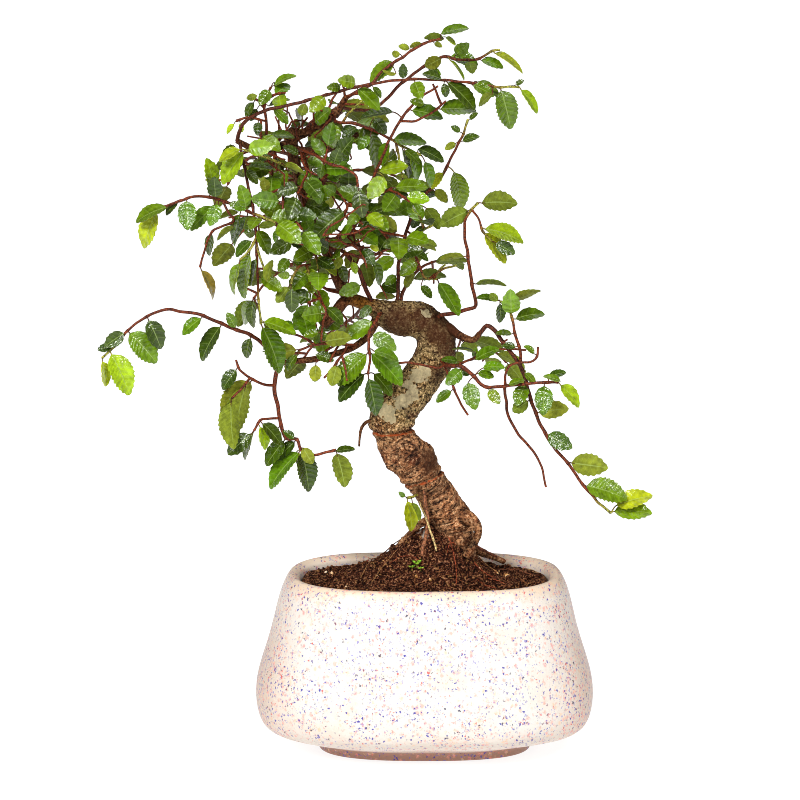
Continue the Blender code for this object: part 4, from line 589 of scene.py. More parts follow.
SPRIG_LEAVES = (9.0, 14.0)
SPRIG_LEAF_STEP = 3
LEAF_COVER = 9.0
INNER_WOOD = (TRUNK[20:], LIMBS["limb_top"], LIMBS["limb_bar"], LIMBS["limb_left"], LIMBS["limb_mid"])
YOUNG_TIPS = {
    "shoot_young": 60, "shoot_top_arch": 10, "shoot_left_hanging": 12, "shoot_right_trailer": 8,
    "shoot_left_trailer": 8, "shoot_right_crown": 5, "shoot_basal": 6, "shoot_right_tall": 5,
    "shoot_bar": 12, "shoot_front_left": 5, "shoot_top_dark": 5,
}
# Colours of a leaf by its look: its upper side, then its under side
LEAF_COLOURS = {
    "d": ("#3a5206", "#62701c"), "g": ("#587a08", "#788628"), "b": ("#76980e", "#8f9e2e"),
    "y": ("#a6c01c", "#aeba3a"), "p": ("#8f8036", "#9a8a48"), "u": ("#54740c", "#7a8828"),
}
# Looks that leaves laid by the rule draw from, before and behind; those behind are darker, as painted shade
# inside the crown
RULE_LOOKS = "dddgggb"
SHADED_BACK_LOOKS = "dddddgg"
# A stem's bark at its foot, further on, and at a young tip; a petiole's, young and old
STEM_COLOURS = ("#2a1108", "#6a2d13", "#868332")
PETIOLE_COLOURS = ("#7a6e2c", "#54301a")
SEEDLING_COLOURS = ("#6f9a22", "#8fb530")
SEEDLING_STALK = "#8a9a3a"


def spot(column, row, depth):
    """The place at a depth that shows at a column and a row of the picture, in metres."""
    tilt = math.radians(EYE_TILT)
    across = (column - PICTURE_MIDDLE) * PIXEL
    up = (PICTURE_MIDDLE - row) * PIXEL
    reach = (EYE_DISTANCE * math.cos(tilt) + depth) / (EYE_DISTANCE * math.cos(tilt) + up * math.sin(tilt))
    drop = up * math.cos(tilt) - EYE_DISTANCE * math.sin(tilt)
    z = AIM_Z + EYE_DISTANCE * math.sin(tilt) + drop * reach
    return Vector((AIM_X + across * reach, depth, z)) * MM


def smooth(points, step):
    """Points about a step apart on a smooth curve through the given ones, radius carried along."""
    ends = [points[0] * 2 - points[1], *points, points[-1] * 2 - points[-2]]
    path = []
    for before, start, end, after in zip(ends, ends[1:], ends[2:], ends[3:]):
        count = max(1, round((end - start).to_3d().length / step))
        for i in range(count):
            t = i / count
            bend = 2 * before - 5 * start + 4 * end - after
            swing = 3 * start - before - 3 * end + after
            path.append(0.5 * (2 * start + (end - before) * t + bend * t * t + swing * t ** 3))
    path.append(points[-1])
    return path


def hump(away, spread):
    """The height of a smooth hump: 1 at its middle, next to nothing at twice its spread."""
    return math.exp(-(away / spread) ** 2)


def clamped(value):
    return min(1.0, max(0.0, value))


def limb_route(points):
    return [Vector((*spot(*point[:3]), point[3] * MM)) for point in points]


def stem_route(first_radius, last_radius, points):
    """A stem's corner points, tapering from its first radius to its last."""
    last = len(points) - 1
    return [
        Vector((*spot(*point), (first_radius + (last_radius - first_radius) * i / last) * MM))
        for i, point in enumerate(points)
    ]


def oval(half_width, half_depth, sectors):
    """Points round an oval whose corners are squared, anticlockwise from +X."""
    power = 2 / POT_SQUARENESS
    points = []
    for i in range(sectors):
        turn = 2 * math.pi * i / sectors
        cos, sin = math.cos(turn), math.sin(turn)
        x = half_width * math.copysign(abs(cos) ** power, cos)
        y = half_depth * math.copysign(abs(sin) ** power, sin)
        points.append((x, y))
    return points


def outside_depth(height, half_width):
    """Half depth of the pot's outside, where its half width at a height is known."""
    heights = (SPREAD_START, SPREAD_END, LEAN_START, POT_RIM[0])
    shares = (FOOT_DEPTH_SHARE, POT_DEPTH_SHARE, POT_DEPTH_SHARE, RIM_DEPTH_SHARE)
    return half_width * float(np.interp(height, heights, shares))


def inside_depth(height, half_width):
    """Half depth of the pot's inside, one wall in from its outside on every side."""
    return outside_depth(height, half_width + POT_WALL) - POT_WALL


def soil_height(x, y):
    """The soil's surface: level at the wall, heaped towards the trunk, gentler on the left."""
    away_x = x - MOUND_CENTRE[0]
    spread = MOUND_LEFT if away_x < 0 else MOUND_RIGHT
    away = (away_x / spread) ** 2 + ((y - MOUND_CENTRE[1]) / MOUND_DEPTH) ** 2
    clods = 0.9 * noise.noise(Vector((x / 9, y / 9, 3.0)))
    return SOIL_LEVEL + MOUND_HEIGHT * math.exp(-away) + clods


def wood_samples():
    """Points close together along all the wood that shoots grow from."""
    points = smooth(limb_route(TRUNK), CLOSE_STEP * MM)
    for limb in LIMBS.values():
        points += smooth(limb_route(limb), CLOSE_STEP * MM)
    return points


def far_from(tubes, place):
    """How far the points of some tubes are from a place."""
    return np.linalg.norm(tubes[:, :3] - np.array(place), axis=1)


class Plant:
    """Where every stem and leaf lies, each laid clear of the ones before it."""

    def __init__(self):
        self.wood = wood_samples()
        self.owners = [-1] * len(self.wood)
        self.tubes = np.array([tuple(point) for point in self.wood])
        self.blades = []
        self.shoots = []

    def new_shoot(self, name, fill=0, shown=()):
        """A shoot with nothing laid yet, and the leaves that it is to have."""
        shoot = {"name": name, "index": len(self.shoots), "fill": fill, "shown": shown, "paths": [],
                 "leaves": [], "tiny": [], "feet": [], "twigs": []}
        self.shoots.append(shoot)
        return shoot

    def keep_clear(self, path, shoot):
        """Remembers the room that a shoot's stem or twig takes up."""
        self.tubes = np.vstack((self.tubes, [tuple(point) for point in path]))
        self.owners += [shoot["index"]] * len(path)

    def others(self, shoot):
        """Points of all the wood that isn't the shoot's own."""
        return self.tubes[np.array(self.owners) != shoot["index"]]

    def meets_leaf(self, place, reach):
        """Whether a leaf that is laid already comes within reach of a place."""
        return any(
            (centre - place).length < radius + MM and shape.find_nearest(place, reach)[0] is not None
            for shape, centre, radius in self.blades)

    def lay_stems(self):
        for name, fill, stems, leaves in SHOOTS:
            shoot = self.new_shoot(name, fill, leaves)
            paths = shoot["paths"]
            for first, last, points in stems:
                route = stem_route(first, last, points)
                before = [point for path in paths for point in path] or self.wood
                seat = min(before, key=lambda point: (point.to_3d() - route[0].to_3d()).length_squared)
                route[0] = Vector((*seat[:3], route[0][3]))
                paths.append(self.clear_path(route, shoot, seat[3]))
            self.keep_clear([point for path in paths for point in path], shoot)

    def clear_path(self, route, shoot, seat_radius):
        """A stem's path, moved in depth by the least shift that clears the other wood."""
        best, best_hits = None, None
        others = self.others(shoot)
        for shift in STEM_SHIFTS:
            moved = [
                point + Vector((0, shift * MM * min(1.0, i / 2), 0, 0)) if i else point
                for i, point in enumerate(route)
            ]
            path = smooth(moved, CLOSE_STEP * MM)
            start = path[0].to_3d()
            hits = 0
            for point in path:
                if (point.to_3d() - start).length > seat_radius + STEM_SEAT * MM:
                    room = others[:, 3] + point[3] + CLEARANCE * MM + STEM_GAP * MM
                    hits += int((far_from(others, point[:3]) < room).sum())
            if best_hits is None or hits < best_hits:
                best, best_hits = path, hits
            if hits == 0:
                break
        return best

    def lay_leaves(self):
        """The leaves seen from the front first, then those that follow the rule along each stem."""
        for shoot in self.shoots:
            shoot["chance"] = random.Random(shoot["name"])
            for shown in shoot["shown"]:
                leaf = shown_leaf(shoot["paths"], shown, shoot["chance"])
                if leaf["length"] > SHORTEST_LEAF * MM:
                    self.settle(shoot, leaf)
                else:
                    shoot["tiny"].append(leaf)
        for shoot in self.shoots:
            self.fill_stems(shoot, shoot["chance"])

    def fill_stems(self, shoot, chance):
        """Leaves in two ranks from each stem's tip inwards, where no other grows, up to the count."""
        placed = 0
        for path in shoot["paths"]:
            last = len(path) - 1
            walked, side = FILL_SPACING * MM, 1.0
            for i in range(last, 1, -1):
                step = (path[i] - path[i - 1]).to_3d()
                foot = path[i].to_3d()
                taken = any((foot - other).length < FOOT_SPACING * MM for other in shoot["feet"])
                if walked >= FILL_SPACING * MM and placed < shoot["fill"] and not taken:
                    walked, side = 0.0, -side
                    along = step.normalized()
                    across = along.cross(Vector((0, 0, 1))).normalized() * side
                    angle = math.radians(FILL_ANGLE + chance.uniform(-10, 10)) if i < last else 0.0
                    axis = along * math.cos(angle) + across * math.sin(angle)
                    axis.z += chance.uniform(-0.25, 0.15)
                    placed += self.settle(shoot, rule_leaf(foot, axis.normalized(), chance))
                walked += step.length

    def lay_fine_growth(self):
        """The tiniest leaves, then fine side twigs with small leaves of their own."""
        self.shown = [shown_at(blade_middle(leaf)) for shoot in self.shoots for leaf in shoot["leaves"]]
        for shoot in self.shoots:
            for leaf in shoot["tiny"]:
                self.settle(shoot, leaf)
        for shoot in self.shoots:
            behind = shoot["name"].startswith("shoot_back")
            chance = random.Random(shoot["name"] + "_fine")
            wanted = BACK_SPRIGS if behind else SPRIGGED.get(shoot["name"], 0)
            for attempt in range(wanted * 5):
                path = chance.choice(shoot["paths"])
                start = chance.randrange(2, len(path))
                wanted -= wanted > 0 and self.grow_sprig(shoot, path, start, behind, chance)
        self.lay_inner_sprigs()

    def lay_inner_sprigs(self):
        """Sprigs that grow straight from the wood inside the crown."""
        inner = self.new_shoot("inner_sprigs")
        chance = random.Random("inner sprigs")
        wood = [smooth(limb_route(points), CLOSE_STEP * MM) for points in INNER_WOOD]
        wanted = INNER_SPRIGS
        for attempt in range(INNER_SPRIGS * 5):
            path = chance.choice(wood)
            start = chance.randrange(2, len(path))
            behind = chance.random() < 0.45
            wanted -= wanted > 0 and self.grow_sprig(inner, path, start, behind, chance)
        wanted = BARE_TWIGS
        for attempt in range(BARE_TWIGS * 6):
            grown = inner["twigs"] if inner["twigs"] and chance.random() < 0.3 else wood
            path = chance.choice(grown)
            start = chance.randrange(1, len(path))
            wanted -= wanted > 0 and self.grow_bare_twig(inner, path[start], chance)

    def grow_bare_twig(self, shoot, seat, chance):
        """A wiry leafless twig from a point of the wood, and whether it found room."""
        heading = Vector((chance.uniform(-1, 1), chance.uniform(-1.2, 0.8), chance.uniform(-0.6, 1)))
        heading.normalize()
        length = chance.uniform(*BARE_LENGTHS) * MM
        steps = round(length / (CLOSE_STEP * MM))
        place = seat.to_3d()
        twig = [Vector((*place, BARE_RADIUS * MM))]
        for i in range(steps):
            if i % 4 == 3:
                kink = Vector((chance.gauss(0, 0.35), chance.gauss(0, 0.3), chance.gauss(0, 0.35)))
                heading = (heading + kink).normalized()
            place = place + heading * CLOSE_STEP * MM
            twig.append(Vector((*place, (BARE_RADIUS - 0.22 * i / steps) * MM)))
        shows = all(self.may_show(point.to_3d()) for point in twig[1:])
        tip, middle = twig[-1].to_3d(), twig[len(twig) // 2].to_3d()
        crowded = any(
            min((point.to_3d() - tip).length, (point.to_3d() - middle).length) < TWIG_ROOM * MM
            for other in shoot["twigs"] for point in other)
        if crowded or not shows or not self.twig_is_clear(twig, seat[3], shoot):
            return False
        self.keep_clear(twig, shoot)
        shoot["twigs"].append(twig)
        return True

    def grow_sprig(self, shoot, path, start, behind, chance):
        """A side twig with its leaves from one point of a stem, and whether it found room."""
        foot = path[start].to_3d()
        along = (path[start] - path[start - 1]).to_3d().normalized()
        outward = Vector((0, 0.7 if behind else -0.7, 0.25))
        side = along.cross(outward).normalized() * chance.choice((-1, 1))
        drift = Vector((chance.gauss(0, 0.2), chance.gauss(0, 0.2), chance.gauss(0, 0.2)))
        heading = (along * 0.55 + side * 0.7 + outward * chance.uniform(0.2, 1.0) + drift).normalized()
        droop = Vector((chance.uniform(-0.3, 0.3), 0, chance.uniform(-0.6, 0.1)))
        length = chance.uniform(*SPRIG_LENGTHS) * MM
        steps = round(length / (CLOSE_STEP * MM))
        twig = []
        for i in range(steps + 1):
            share = i / steps
            place = foot + (heading * share + droop * 0.5 * share ** 2) * length
            twig.append(Vector((*place, (SPRIG_RADIUS - 0.2 * share) * MM)))
        if not self.may_show(twig[-1].to_3d()) or not self.twig_is_clear(twig, path[start][3], shoot):
            return False
        self.keep_clear(twig, shoot)
        shoot["twigs"].append(twig)
        self.leaf_out(shoot, twig, behind, chance)
        return True

    def leaf_out(self, shoot, twig, behind, chance):
        """Small leaves in two ranks along a fine twig, and one at its tip."""
        rank = chance.choice((-1, 1))
        for i in range(len(twig) - 1, 1, -SPRIG_LEAF_STEP):
            along = (twig[i] - twig[i - 1]).to_3d().normalized()
            across = along.cross(Vector((0, 0.5 if behind else -0.5, 1))).normalized() * rank
            angle = math.radians(chance.uniform(38, 62)) if i < len(twig) - 1 else 0.0
            axis = along * math.cos(angle) + across * math.sin(angle)
            axis.z += chance.uniform(-0.35, 0.10)
            leaf = rule_leaf(twig[i].to_3d(), axis.normalized(), chance)
            size = chance.uniform(*SPRIG_LEAVES) * MM
            leaf["length"] = size if i < len(twig) - 1 else size * 1.1
            if self.may_show(blade_middle(leaf)) and self.may_show(leaf["base"] + axis * leaf["length"]):
                self.settle(shoot, leaf)
            rank = -rank

    def may_show(self, place):
        """Whether more leaves may show there: in the dense crown, or before a leaf that shows anyway."""
        low, high = SOLIDS_BOX
        if any(place[k] < low[k] or place[k] > high[k] for k in range(3)):
            return False
        column, row = shown_at(place)
        if within(DENSE_CROWN, column, row):
            return True
        return any(math.hypot(column - a, row - b) < LEAF_COVER for a, b in self.shown)

    def twig_is_clear(self, twig, seat_radius, shoot):
        start = twig[0].to_3d()
        others = self.others(shoot)
        for point in twig:
            place = point.to_3d()
            if (place - start).length < seat_radius + TWIG_SEAT * MM:
                continue
            if (far_from(others, place) < others[:, 3] + point[3] + CLEARANCE * MM).any():
                return False
            if self.meets_leaf(place, point[3]):
                return False
        return True

    def settle(self, shoot, wanted):
        """Adds the leaf at the first of its tries that crosses nothing, and says if one did."""
        for swing, nod, roll, size, shift in LEAF_TRIES:
            leaf = turned(wanted, swing, nod, roll, size, shift)
            if self.is_clear(leaf, shoot):
                shape = BVHTree.FromPolygons(*blade(leaf, CLEARANCE * MM))
                self.blades.append((shape, blade_middle(leaf), leaf["length"] * LEAF_REACH))
                shoot["leaves"].append(leaf)
                shoot["feet"].append(leaf["foot"])
                return True
        return False

    def is_clear(self, leaf, shoot):
        shape = BVHTree.FromPolygons(*blade(leaf, CLEARANCE * MM, bare=True))
        middle = blade_middle(leaf)
        radius = leaf["length"] * LEAF_REACH
        for other, centre, other_radius in self.blades:
            if (centre - middle).length < radius + other_radius and shape.overlap(other):
                return False
        far = far_from(self.tubes, middle)
        for i in np.nonzero(far < radius + self.tubes[:, 3] + MM)[0]:
            own = self.owners[i] == shoot["index"]
            room = self.tubes[i][3] - OWN_OVERLAP * MM if own else self.tubes[i][3] + STEM_ROOM * MM
            if self.owners[i] == -1:
                room += WOOD_ROOM * MM
            if shape.find_nearest(Vector(self.tubes[i][:3]), room)[0] is not None:
                return False
        return self.petiole_is_clear(leaf, shoot)

    def petiole_is_clear(self, leaf, shoot):
        others = self.others(shoot)
        room = (PETIOLE_HALF + CLEARANCE) * MM
        for share in (0.35, 0.7, 1.0):
            place = leaf["foot"].lerp(leaf["base"], share)
            if (far_from(others, place) < others[:, 3] + room).any() or self.meets_leaf(place, room):
                return False
        return True


def shown_leaf(paths, shown, chance):
    """A leaf as the picture shows it: its foot on the nearest stem, its tip turned to the viewer.

    A blade that shows wider than it should be for its length points towards the viewer, and one
    that shows narrower is rolled about its rib.
    """
    column, row, tip_column, tip_row, width, look = shown
    best = None
    for path in paths:
        for point in path[2:]:
            away = (spot(column, row, point.y / MM) - point.to_3d()).length
            if best is None or away < best[0]:
                best = (away, point.to_3d())
    foot = best[1]
    depth = foot.y / MM
    base = spot(column, row, depth)
    shown_length = (spot(tip_column, tip_row, depth) - base).length
    shown_width = width * PIXEL * MM
    length = max(shown_length, shown_width / LEAF_WIDTH_SHARE)
    nearer = math.sqrt(length ** 2 - shown_length ** 2) / MM
    axis = (spot(tip_column, tip_row, depth - nearer) - base).normalized()
    if (base - foot).length < PETIOLE * MM:
        base = foot + axis * PETIOLE * MM
    tilt = math.radians(EYE_TILT)
    face = Vector((0, -math.cos(tilt), math.sin(tilt))) * (-1 if look == "u" else 1)
    normal = (face - axis * face.dot(axis)).normalized()
    roll = math.acos(min(1.0, shown_width / (LEAF_WIDTH_SHARE * length)))
    sides = [Matrix.Rotation(turn, 3, axis) @ normal for turn in (-roll, roll)]
    normal = max(sides, key=lambda side: side.z)
    return {"foot": foot, "base": base, "axis": axis, "normal": normal, "length": length,
            "arch": chance.uniform(*LEAF_ARCHES), "look": look}


def rule_leaf(foot, axis, chance):
    """A leaf that grows from a stem by the rule, its face up and outwards."""
    outlook = 0.85 if foot.y < 18 * MM else -0.6
    face = Vector((chance.uniform(-0.35, 0.35), -outlook, 0.62))
    normal = (face - axis * face.dot(axis)).normalized()
    return {"foot": foot, "base": foot + axis * PETIOLE * MM, "axis": axis, "normal": normal,
            "length": chance.uniform(*FILL_LENGTHS) * MM, "arch": chance.uniform(*LEAF_ARCHES)}


def shown_at(place):
    """The column and row of the picture where a place shows."""
    tilt = math.radians(EYE_TILT)
    x, y, z = place / MM
    away = EYE_DISTANCE + y * math.cos(tilt) - (z - AIM_Z) * math.sin(tilt)
    up = y * math.sin(tilt) + (z - AIM_Z) * math.cos(tilt)
    scale = EYE_DISTANCE / away / PIXEL
    return PICTURE_MIDDLE + (x - AIM_X) * scale, PICTURE_MIDDLE - up * scale


def within(outline, column, row):
    """Whether a point of the picture lies inside a closed outline."""
    inside = False
    for (a, b), (c, d) in zip(outline, outline[1:] + outline[:1]):
        if (b > row) != (d > row) and column < a + (c - a) * (row - b) / (d - b):
            inside = not inside
    return inside


def blade_middle(leaf):
    return leaf["base"] + leaf["axis"] * leaf["length"] / 2


def turned(leaf, swing, nod, roll, size, shift):
    """The leaf swung in its plane, nodded and rolled about its base, sized, and shifted in depth."""
    axis, normal = leaf["axis"], leaf["normal"]
    axis = Matrix.Rotation(math.radians(swing), 3, normal) @ axis
    across = normal.cross(axis)
    axis = (Matrix.Rotation(math.radians(nod), 3, across) @ axis).normalized()
    normal = Matrix.Rotation(math.radians(roll), 3, axis) @ axis.cross(across).normalized()
    base = leaf["base"] + Vector((0, shift * MM, 0))
    return {**leaf, "base": base, "axis": axis, "normal": normal, "length": leaf["length"] * size}


def blade(leaf, grow=0.0, bare=False):
    """Corners and faces of a leaf: two sheets of like triangles round a rib point, joined at the edge.

    They run to one sharp corner at its foot in the stem. A grown blade is larger all round, and a
    bare one ends at its base.
    """
    length, axis, normal = leaf["length"], leaf["axis"], leaf["normal"]
    across = normal.cross(axis)
    half_width = length * LEAF_WIDTH_SHARE / 2
    edge = LARGE_EDGE if length > SMALL_LEAF * MM else SMALL_EDGE

    def place(share, side):
        out = side * half_width
        lift = LEAF_FOLD * abs(out) + 4 * leaf["arch"] * length * share * (1 - share)
        return leaf["base"] + axis * (share * length) + across * out + normal * lift

    wider = 1 + grow / half_width
    right = [place(share, side * wider) for share, side in edge]
    left = [place(share, -side * wider) for share, side in edge]
    sheet = [place(0.5, 0), *right, place(1 + grow / length, 0), *left[::-1]]
    half = normal * (LEAF_THICKNESS * MM / 2 + grow)
    foot = leaf["base"] if bare else leaf["foot"]
    corners = [foot] + [corner + half for corner in sheet] + [corner - half for corner in sheet]
    rim, size = len(sheet) - 1, len(sheet)
    over, under = 1, 1 + size
    faces = [
        (over, 0, over + 1), (over, over + rim, 0), (under, under + 1, 0), (under, 0, under + rim),
        (0, under + 1, over + 1), (0, over + rim, under + rim),
    ]
    for i in range(1, rim):
        faces.append((over, over + i, over + i + 1))
        faces.append((under, under + i + 1, under + i))
        faces.append((over + i, under + i, under + i + 1))
        faces.append((over + i, under + i + 1, over + i + 1))
    return corners, faces


def linear(code):
    """An sRGB hex colour as linear red, green, blue and alpha."""
    shares = [int(code[i:i + 2], 16) / 255 for i in (1, 3, 5)]
    return (*[s / 12.92 if s <= 0.04045 else ((s + 0.055) / 1.055) ** 2.4 for s in shares], 1.0)


def per(size):
    """A texture's scale for features of a size in mm."""
    return 1 / (size * MM)


def main_output(source):
    """The output that a node is made for: the first that its settings leave on."""
    return next(output for output in source.outputs if output.enabled)


def node(tree, kind, inputs=None, stops=None, **settings):
    """Adds a node with its settings; an input is a value, an output, or a node for its main output."""
    made = tree.nodes.new("ShaderNode" + kind)
    for name, value in settings.items():
        setattr(made, name, value)
    for key, value in (inputs or {}).items():
        if isinstance(value, bpy.types.Node):
            value = main_output(value)
        if isinstance(value, bpy.types.NodeSocket):
            tree.links.new(value, made.inputs[key])
        else:
            made.inputs[key].default_value = value
    if stops:
        ramp = made.color_ramp
        while len(ramp.elements) < len(stops):
            ramp.elements.new(1.0)
        for element, (place, code) in zip(ramp.elements, stops):
            element.position = place
            element.color = linear(code)
    return made


def layered(tree, colour, layers):
    """Lays colours over a colour, each as far as its source has come from its start to its full value."""
    for source, start, full, most, shade in layers:
        share = node(tree, "MapRange", {"Value": source, "From Min": start, "From Max": full, "To Max": most})
        colour = node(tree, "Mix", {0: share, 6: colour, 7: (*shade, 1.0)}, data_type="RGBA")
    return colour


def blank_material(name):
    """A new material, its nodes, its shader, and the place on the object that its patterns read."""
    material = bpy.data.materials.new(name)
    material.use_nodes = True
    tree = material.node_tree
    return material, tree, tree.nodes["Principled BSDF"], node(tree, "TexCoord").outputs["Object"]


def wired(tree, shader, colour, roughness, bump, values):
    """Links a material's colour, roughness and bump to its shader, and sets what is even all over."""
    for name, source in (("Base Color", colour), ("Roughness", roughness), ("Normal", bump)):
        tree.links.new(main_output(source), shader.inputs[name])
    for name, value in values.items():
        shader.inputs[name].default_value = value


def speckled_glaze(look):
    """Stoneware under a satin cream glaze, with fired specks of oxide 0.4 to 2 mm across.

    Blue and near-black specks lie crisp over soft salmon ones. The rim is thin enough to show the beige clay
    through; the lower wall and both ends are darkened with painted shade, the foot is bare clay darkened
    further with painted shade under the belly, and the surface dimples as a dipped glaze does.
    """
    material, tree, shader, place = blank_material("speckled_glaze")
    along = node(tree, "SeparateXYZ", {"Vector": place})
    height = along.outputs["Z"]
    melt = node(tree, "TexNoise", {"Vector": place, "Scale": per(0.8), "Detail": 2.0})
    melted = node(tree, "VectorMath", {0: melt.outputs["Color"], 1: (0.5, 0.5, 0.5)}, operation="SUBTRACT")
    shifted = node(tree, "VectorMath", {0: melted, "Scale": 2.2 * MM}, operation="SCALE")
    moved = node(tree, "VectorMath", {0: place, 1: shifted}, operation="ADD")

    cloud = node(tree, "TexNoise", {"Vector": place, "Scale": per(14.0), "Detail": 4.0})
    ripple = node(tree, "MapRange", {"Value": cloud, "To Min": -3 * MM, "To Max": 3 * MM})
    rim_height = node(tree, "Math", {0: height, 1: ripple})
    end = node(tree, "Math", {0: along.outputs["X"]}, operation="ABSOLUTE")
    # Painted shade: the layers read from the height and from the ends darken the glaze towards the foot and
    # towards both ends, and the foot layer is bare clay darkened as shade under the belly.
    colour = layered(tree, (*look.glaze, 1.0), (
        (cloud, 0.45, 0.75, 0.55, look.blush),
        (rim_height, (POT_RIM[0] - 6.0) * MM, (POT_RIM[0] - 1.0) * MM, 0.85, look.rim),
        (height, 24.0 * MM, 6.0 * MM, 0.75, look.blush),
        (end, 52.0 * MM, 74.0 * MM, 0.9, look.blush),
        (end, 64.0 * MM, 79.0 * MM, 0.45, look.ends),
        (height, 5.6 * MM, 4.4 * MM, 0.92, look.foot),
    ))

    gather = node(tree, "TexNoise", {"Vector": place, "Scale": per(SPECK_CLUMPS), "Detail": 1.0})
    clump = node(tree, "MapRange", {"Value": gather, "From Min": 0.35, "From Max": 0.65,
                                    "To Min": -0.20, "To Max": 0.18})
    crowd = node(tree, "MapRange", {"Value": end, "From Min": 54 * MM, "From Max": 76 * MM, "To Max": 0.3})
    gathered = node(tree, "Math", {0: clump, 1: crowd})
    for spacing, present, largest, softness, strength, offset, hues in SPECKS:
        set_off = node(tree, "Mapping", {"Vector": moved, "Location": (offset * MM, 0, offset * MM),
                                         "Scale": (1.0, 1.0, 0.8)})
        cell = node(tree, "TexVoronoi", {"Vector": set_off, "Scale": per(spacing)})
        draws = node(tree, "SeparateColor", {"Color": cell.outputs["Color"]}).outputs
        drawn = node(tree, "Math", {0: draws["Red"], 1: gathered})
        reach = node(tree, "MapRange", {"Value": drawn, "From Min": 1 - present,
                                        "From Max": 1 - 0.4 * present, "To Max": largest / spacing})
        inside = node(tree, "Math", {0: reach, 1: cell.outputs["Distance"]}, operation="SUBTRACT")
        speckle = node(tree, "MapRange", {"Value": inside, "From Max": softness, "To Max": strength})
        hue = node(tree, "ValToRGB", {"Fac": draws["Green"]}, stops=hues)
        hue.color_ramp.interpolation = "CONSTANT"
        colour = node(tree, "Mix", {0: speckle, 6: colour, 7: hue}, data_type="RGBA")
    dimples = node(tree, "TexNoise", {"Vector": place, "Scale": per(2.0), "Detail": 4.0, "Roughness": 0.6})
    pits = node(tree, "Math", {0: speckle, 1: -0.25, 2: dimples}, operation="MULTIPLY_ADD")
    bump = node(tree, "Bump", {"Strength": 0.5, "Distance": 0.6 * MM, "Height": pits})
    gloss = node(tree, "MapRange", {"Value": cloud, "To Min": 0.36, "To Max": 0.55})
    wired(tree, shader, colour, gloss, bump, {"Coat Weight": 0.15, "Coat Roughness": 0.25})
    return material


def elm_bark(look):
    """Rough elm bark: olive grey above, red-brown and finely wrinkled across below.

    Pale grains stand over dark cracks, lichen lies in crisp patches and the ring scars are orange.
    The relief is painted darker in its hollows and lighter on its ridges, as painted shade and highlight.
    The corners carry two sets of marks: lichen, scar, painted crevice shade and the height walked up the
    trunk, then slim red wood, dark patches, amber and the low trunk's share.
    """
    material, tree, shader, place = blank_material("elm_bark")
    marked = node(tree, "Attribute", attribute_name="marks")
    hued = node(tree, "Attribute", attribute_name="hues")
    marks = node(tree, "SeparateColor", {"Color": marked}).outputs
    hues = node(tree, "SeparateColor", {"Color": hued}).outputs
    low = hued.outputs["Alpha"]
    broad = node(tree, "TexNoise", {"Vector": place, "Scale": per(8.0), "Detail": 5.0})
    patch = node(tree, "TexNoise", {"Vector": place, "Scale": per(2.2), "Detail": 4.0})
    grain = node(tree, "TexNoise", {"Vector": place, "Scale": per(1.15), "Detail": 4.0, "Roughness": 0.7})
    plate = node(tree, "TexVoronoi", {"Vector": place, "Scale": per(1.9)}, feature="DISTANCE_TO_EDGE")
    walk = node(tree, "Math", {0: marked.outputs["Alpha"], 1: WALK_SCALE * MM}, operation="MULTIPLY")
    flat = node(tree, "SeparateXYZ", {"Vector": place}).outputs
    around = node(tree, "Math", {0: flat["X"], 1: ALONG_BARK}, operation="MULTIPLY")
    inward = node(tree, "Math", {0: flat["Y"], 1: ALONG_BARK}, operation="MULTIPLY")
    across = node(tree, "CombineXYZ", {"X": around, "Y": inward, "Z": walk})
    crease = node(tree, "TexNoise", {"Vector": across, "Scale": per(1.0), "Detail": 3.0,
                                     "Roughness": 0.65, "Distortion": 0.5})
    dry = node(tree, "ValToRGB", {"Fac": broad}, stops=(
        (0.32, "#4a2d12"), (0.43, "#785a31"), (0.53, "#a48b5c"), (0.66, "#683f1e")))
    damp = node(tree, "ValToRGB", {"Fac": broad}, stops=(
        (0.32, "#5f331c"), (0.45, "#925e3a"), (0.56, "#ad7c55"), (0.68, "#7a4426")))
    colour = node(tree, "Mix", {0: low, 6: dry, 7: damp}, data_type="RGBA")
    ragged = node(tree, "Math", {0: patch, 1: 1.1, 2: marks["Red"]}, operation="MULTIPLY_ADD")
    broken = node(tree, "Math", {0: patch, 1: marks["Green"]}, operation="MULTIPLY")
    crease_share = node(tree, "MapRange", {"Value": low, "To Min": 0.15, "To Max": 0.70})
    relief = node(tree, "Mix", {0: crease_share, 2: grain, 3: crease})
    # The relief darkens the bark in its hollows and lightens it on its ridges: the bark's own pattern, with
    # painted shade and highlight.
    relief_shade_and_highlight = node(tree, "MapRange", {"Value": relief, "From Min": 0.38, "From Max": 0.62,
                                      "To Min": 0.08, "To Max": 1.85})
    colour = layered(tree, colour, (
        (grain, 0.55, 0.62, 0.50, look.pale), (grain, 0.47, 0.40, 0.90, look.crack_and_crevice_shade),
        (plate, 0.10, 0.0, 0.50, look.crack_and_crevice_shade), (hues["Red"], 0.0, 1.0, 0.85, look.slim),
        (hues["Blue"], 0.1, 1.0, 0.75, look.amber),
    ))
    colour = node(tree, "Mix", {0: 1.0, 6: colour, 7: relief_shade_and_highlight}, data_type="RGBA", blend_type="MULTIPLY")
    # Painted shade: the crack colour is laid over the crevice mark, darker where the skin sinks and in the
    # knot's grooves.
    colour = layered(tree, colour, (
        (hues["Green"], 0.1, 0.65, 0.86, look.dark_patch), (ragged, 1.02, 1.07, 0.80, look.lichen),
        (broken, 0.30, 0.46, 0.85, look.scar), (marks["Blue"], 0.0, 1.0, 0.90, look.crack_and_crevice_shade),
    ))
    bump = node(tree, "Bump", {"Strength": 1.0, "Distance": 1.0 * MM, "Height": relief})
    rough = node(tree, "MapRange", {"Value": relief, "To Min": 1.0, "To Max": 0.40})
    wired(tree, shader, colour, rough, bump, {"Specular IOR Level": 0.14})
    return material


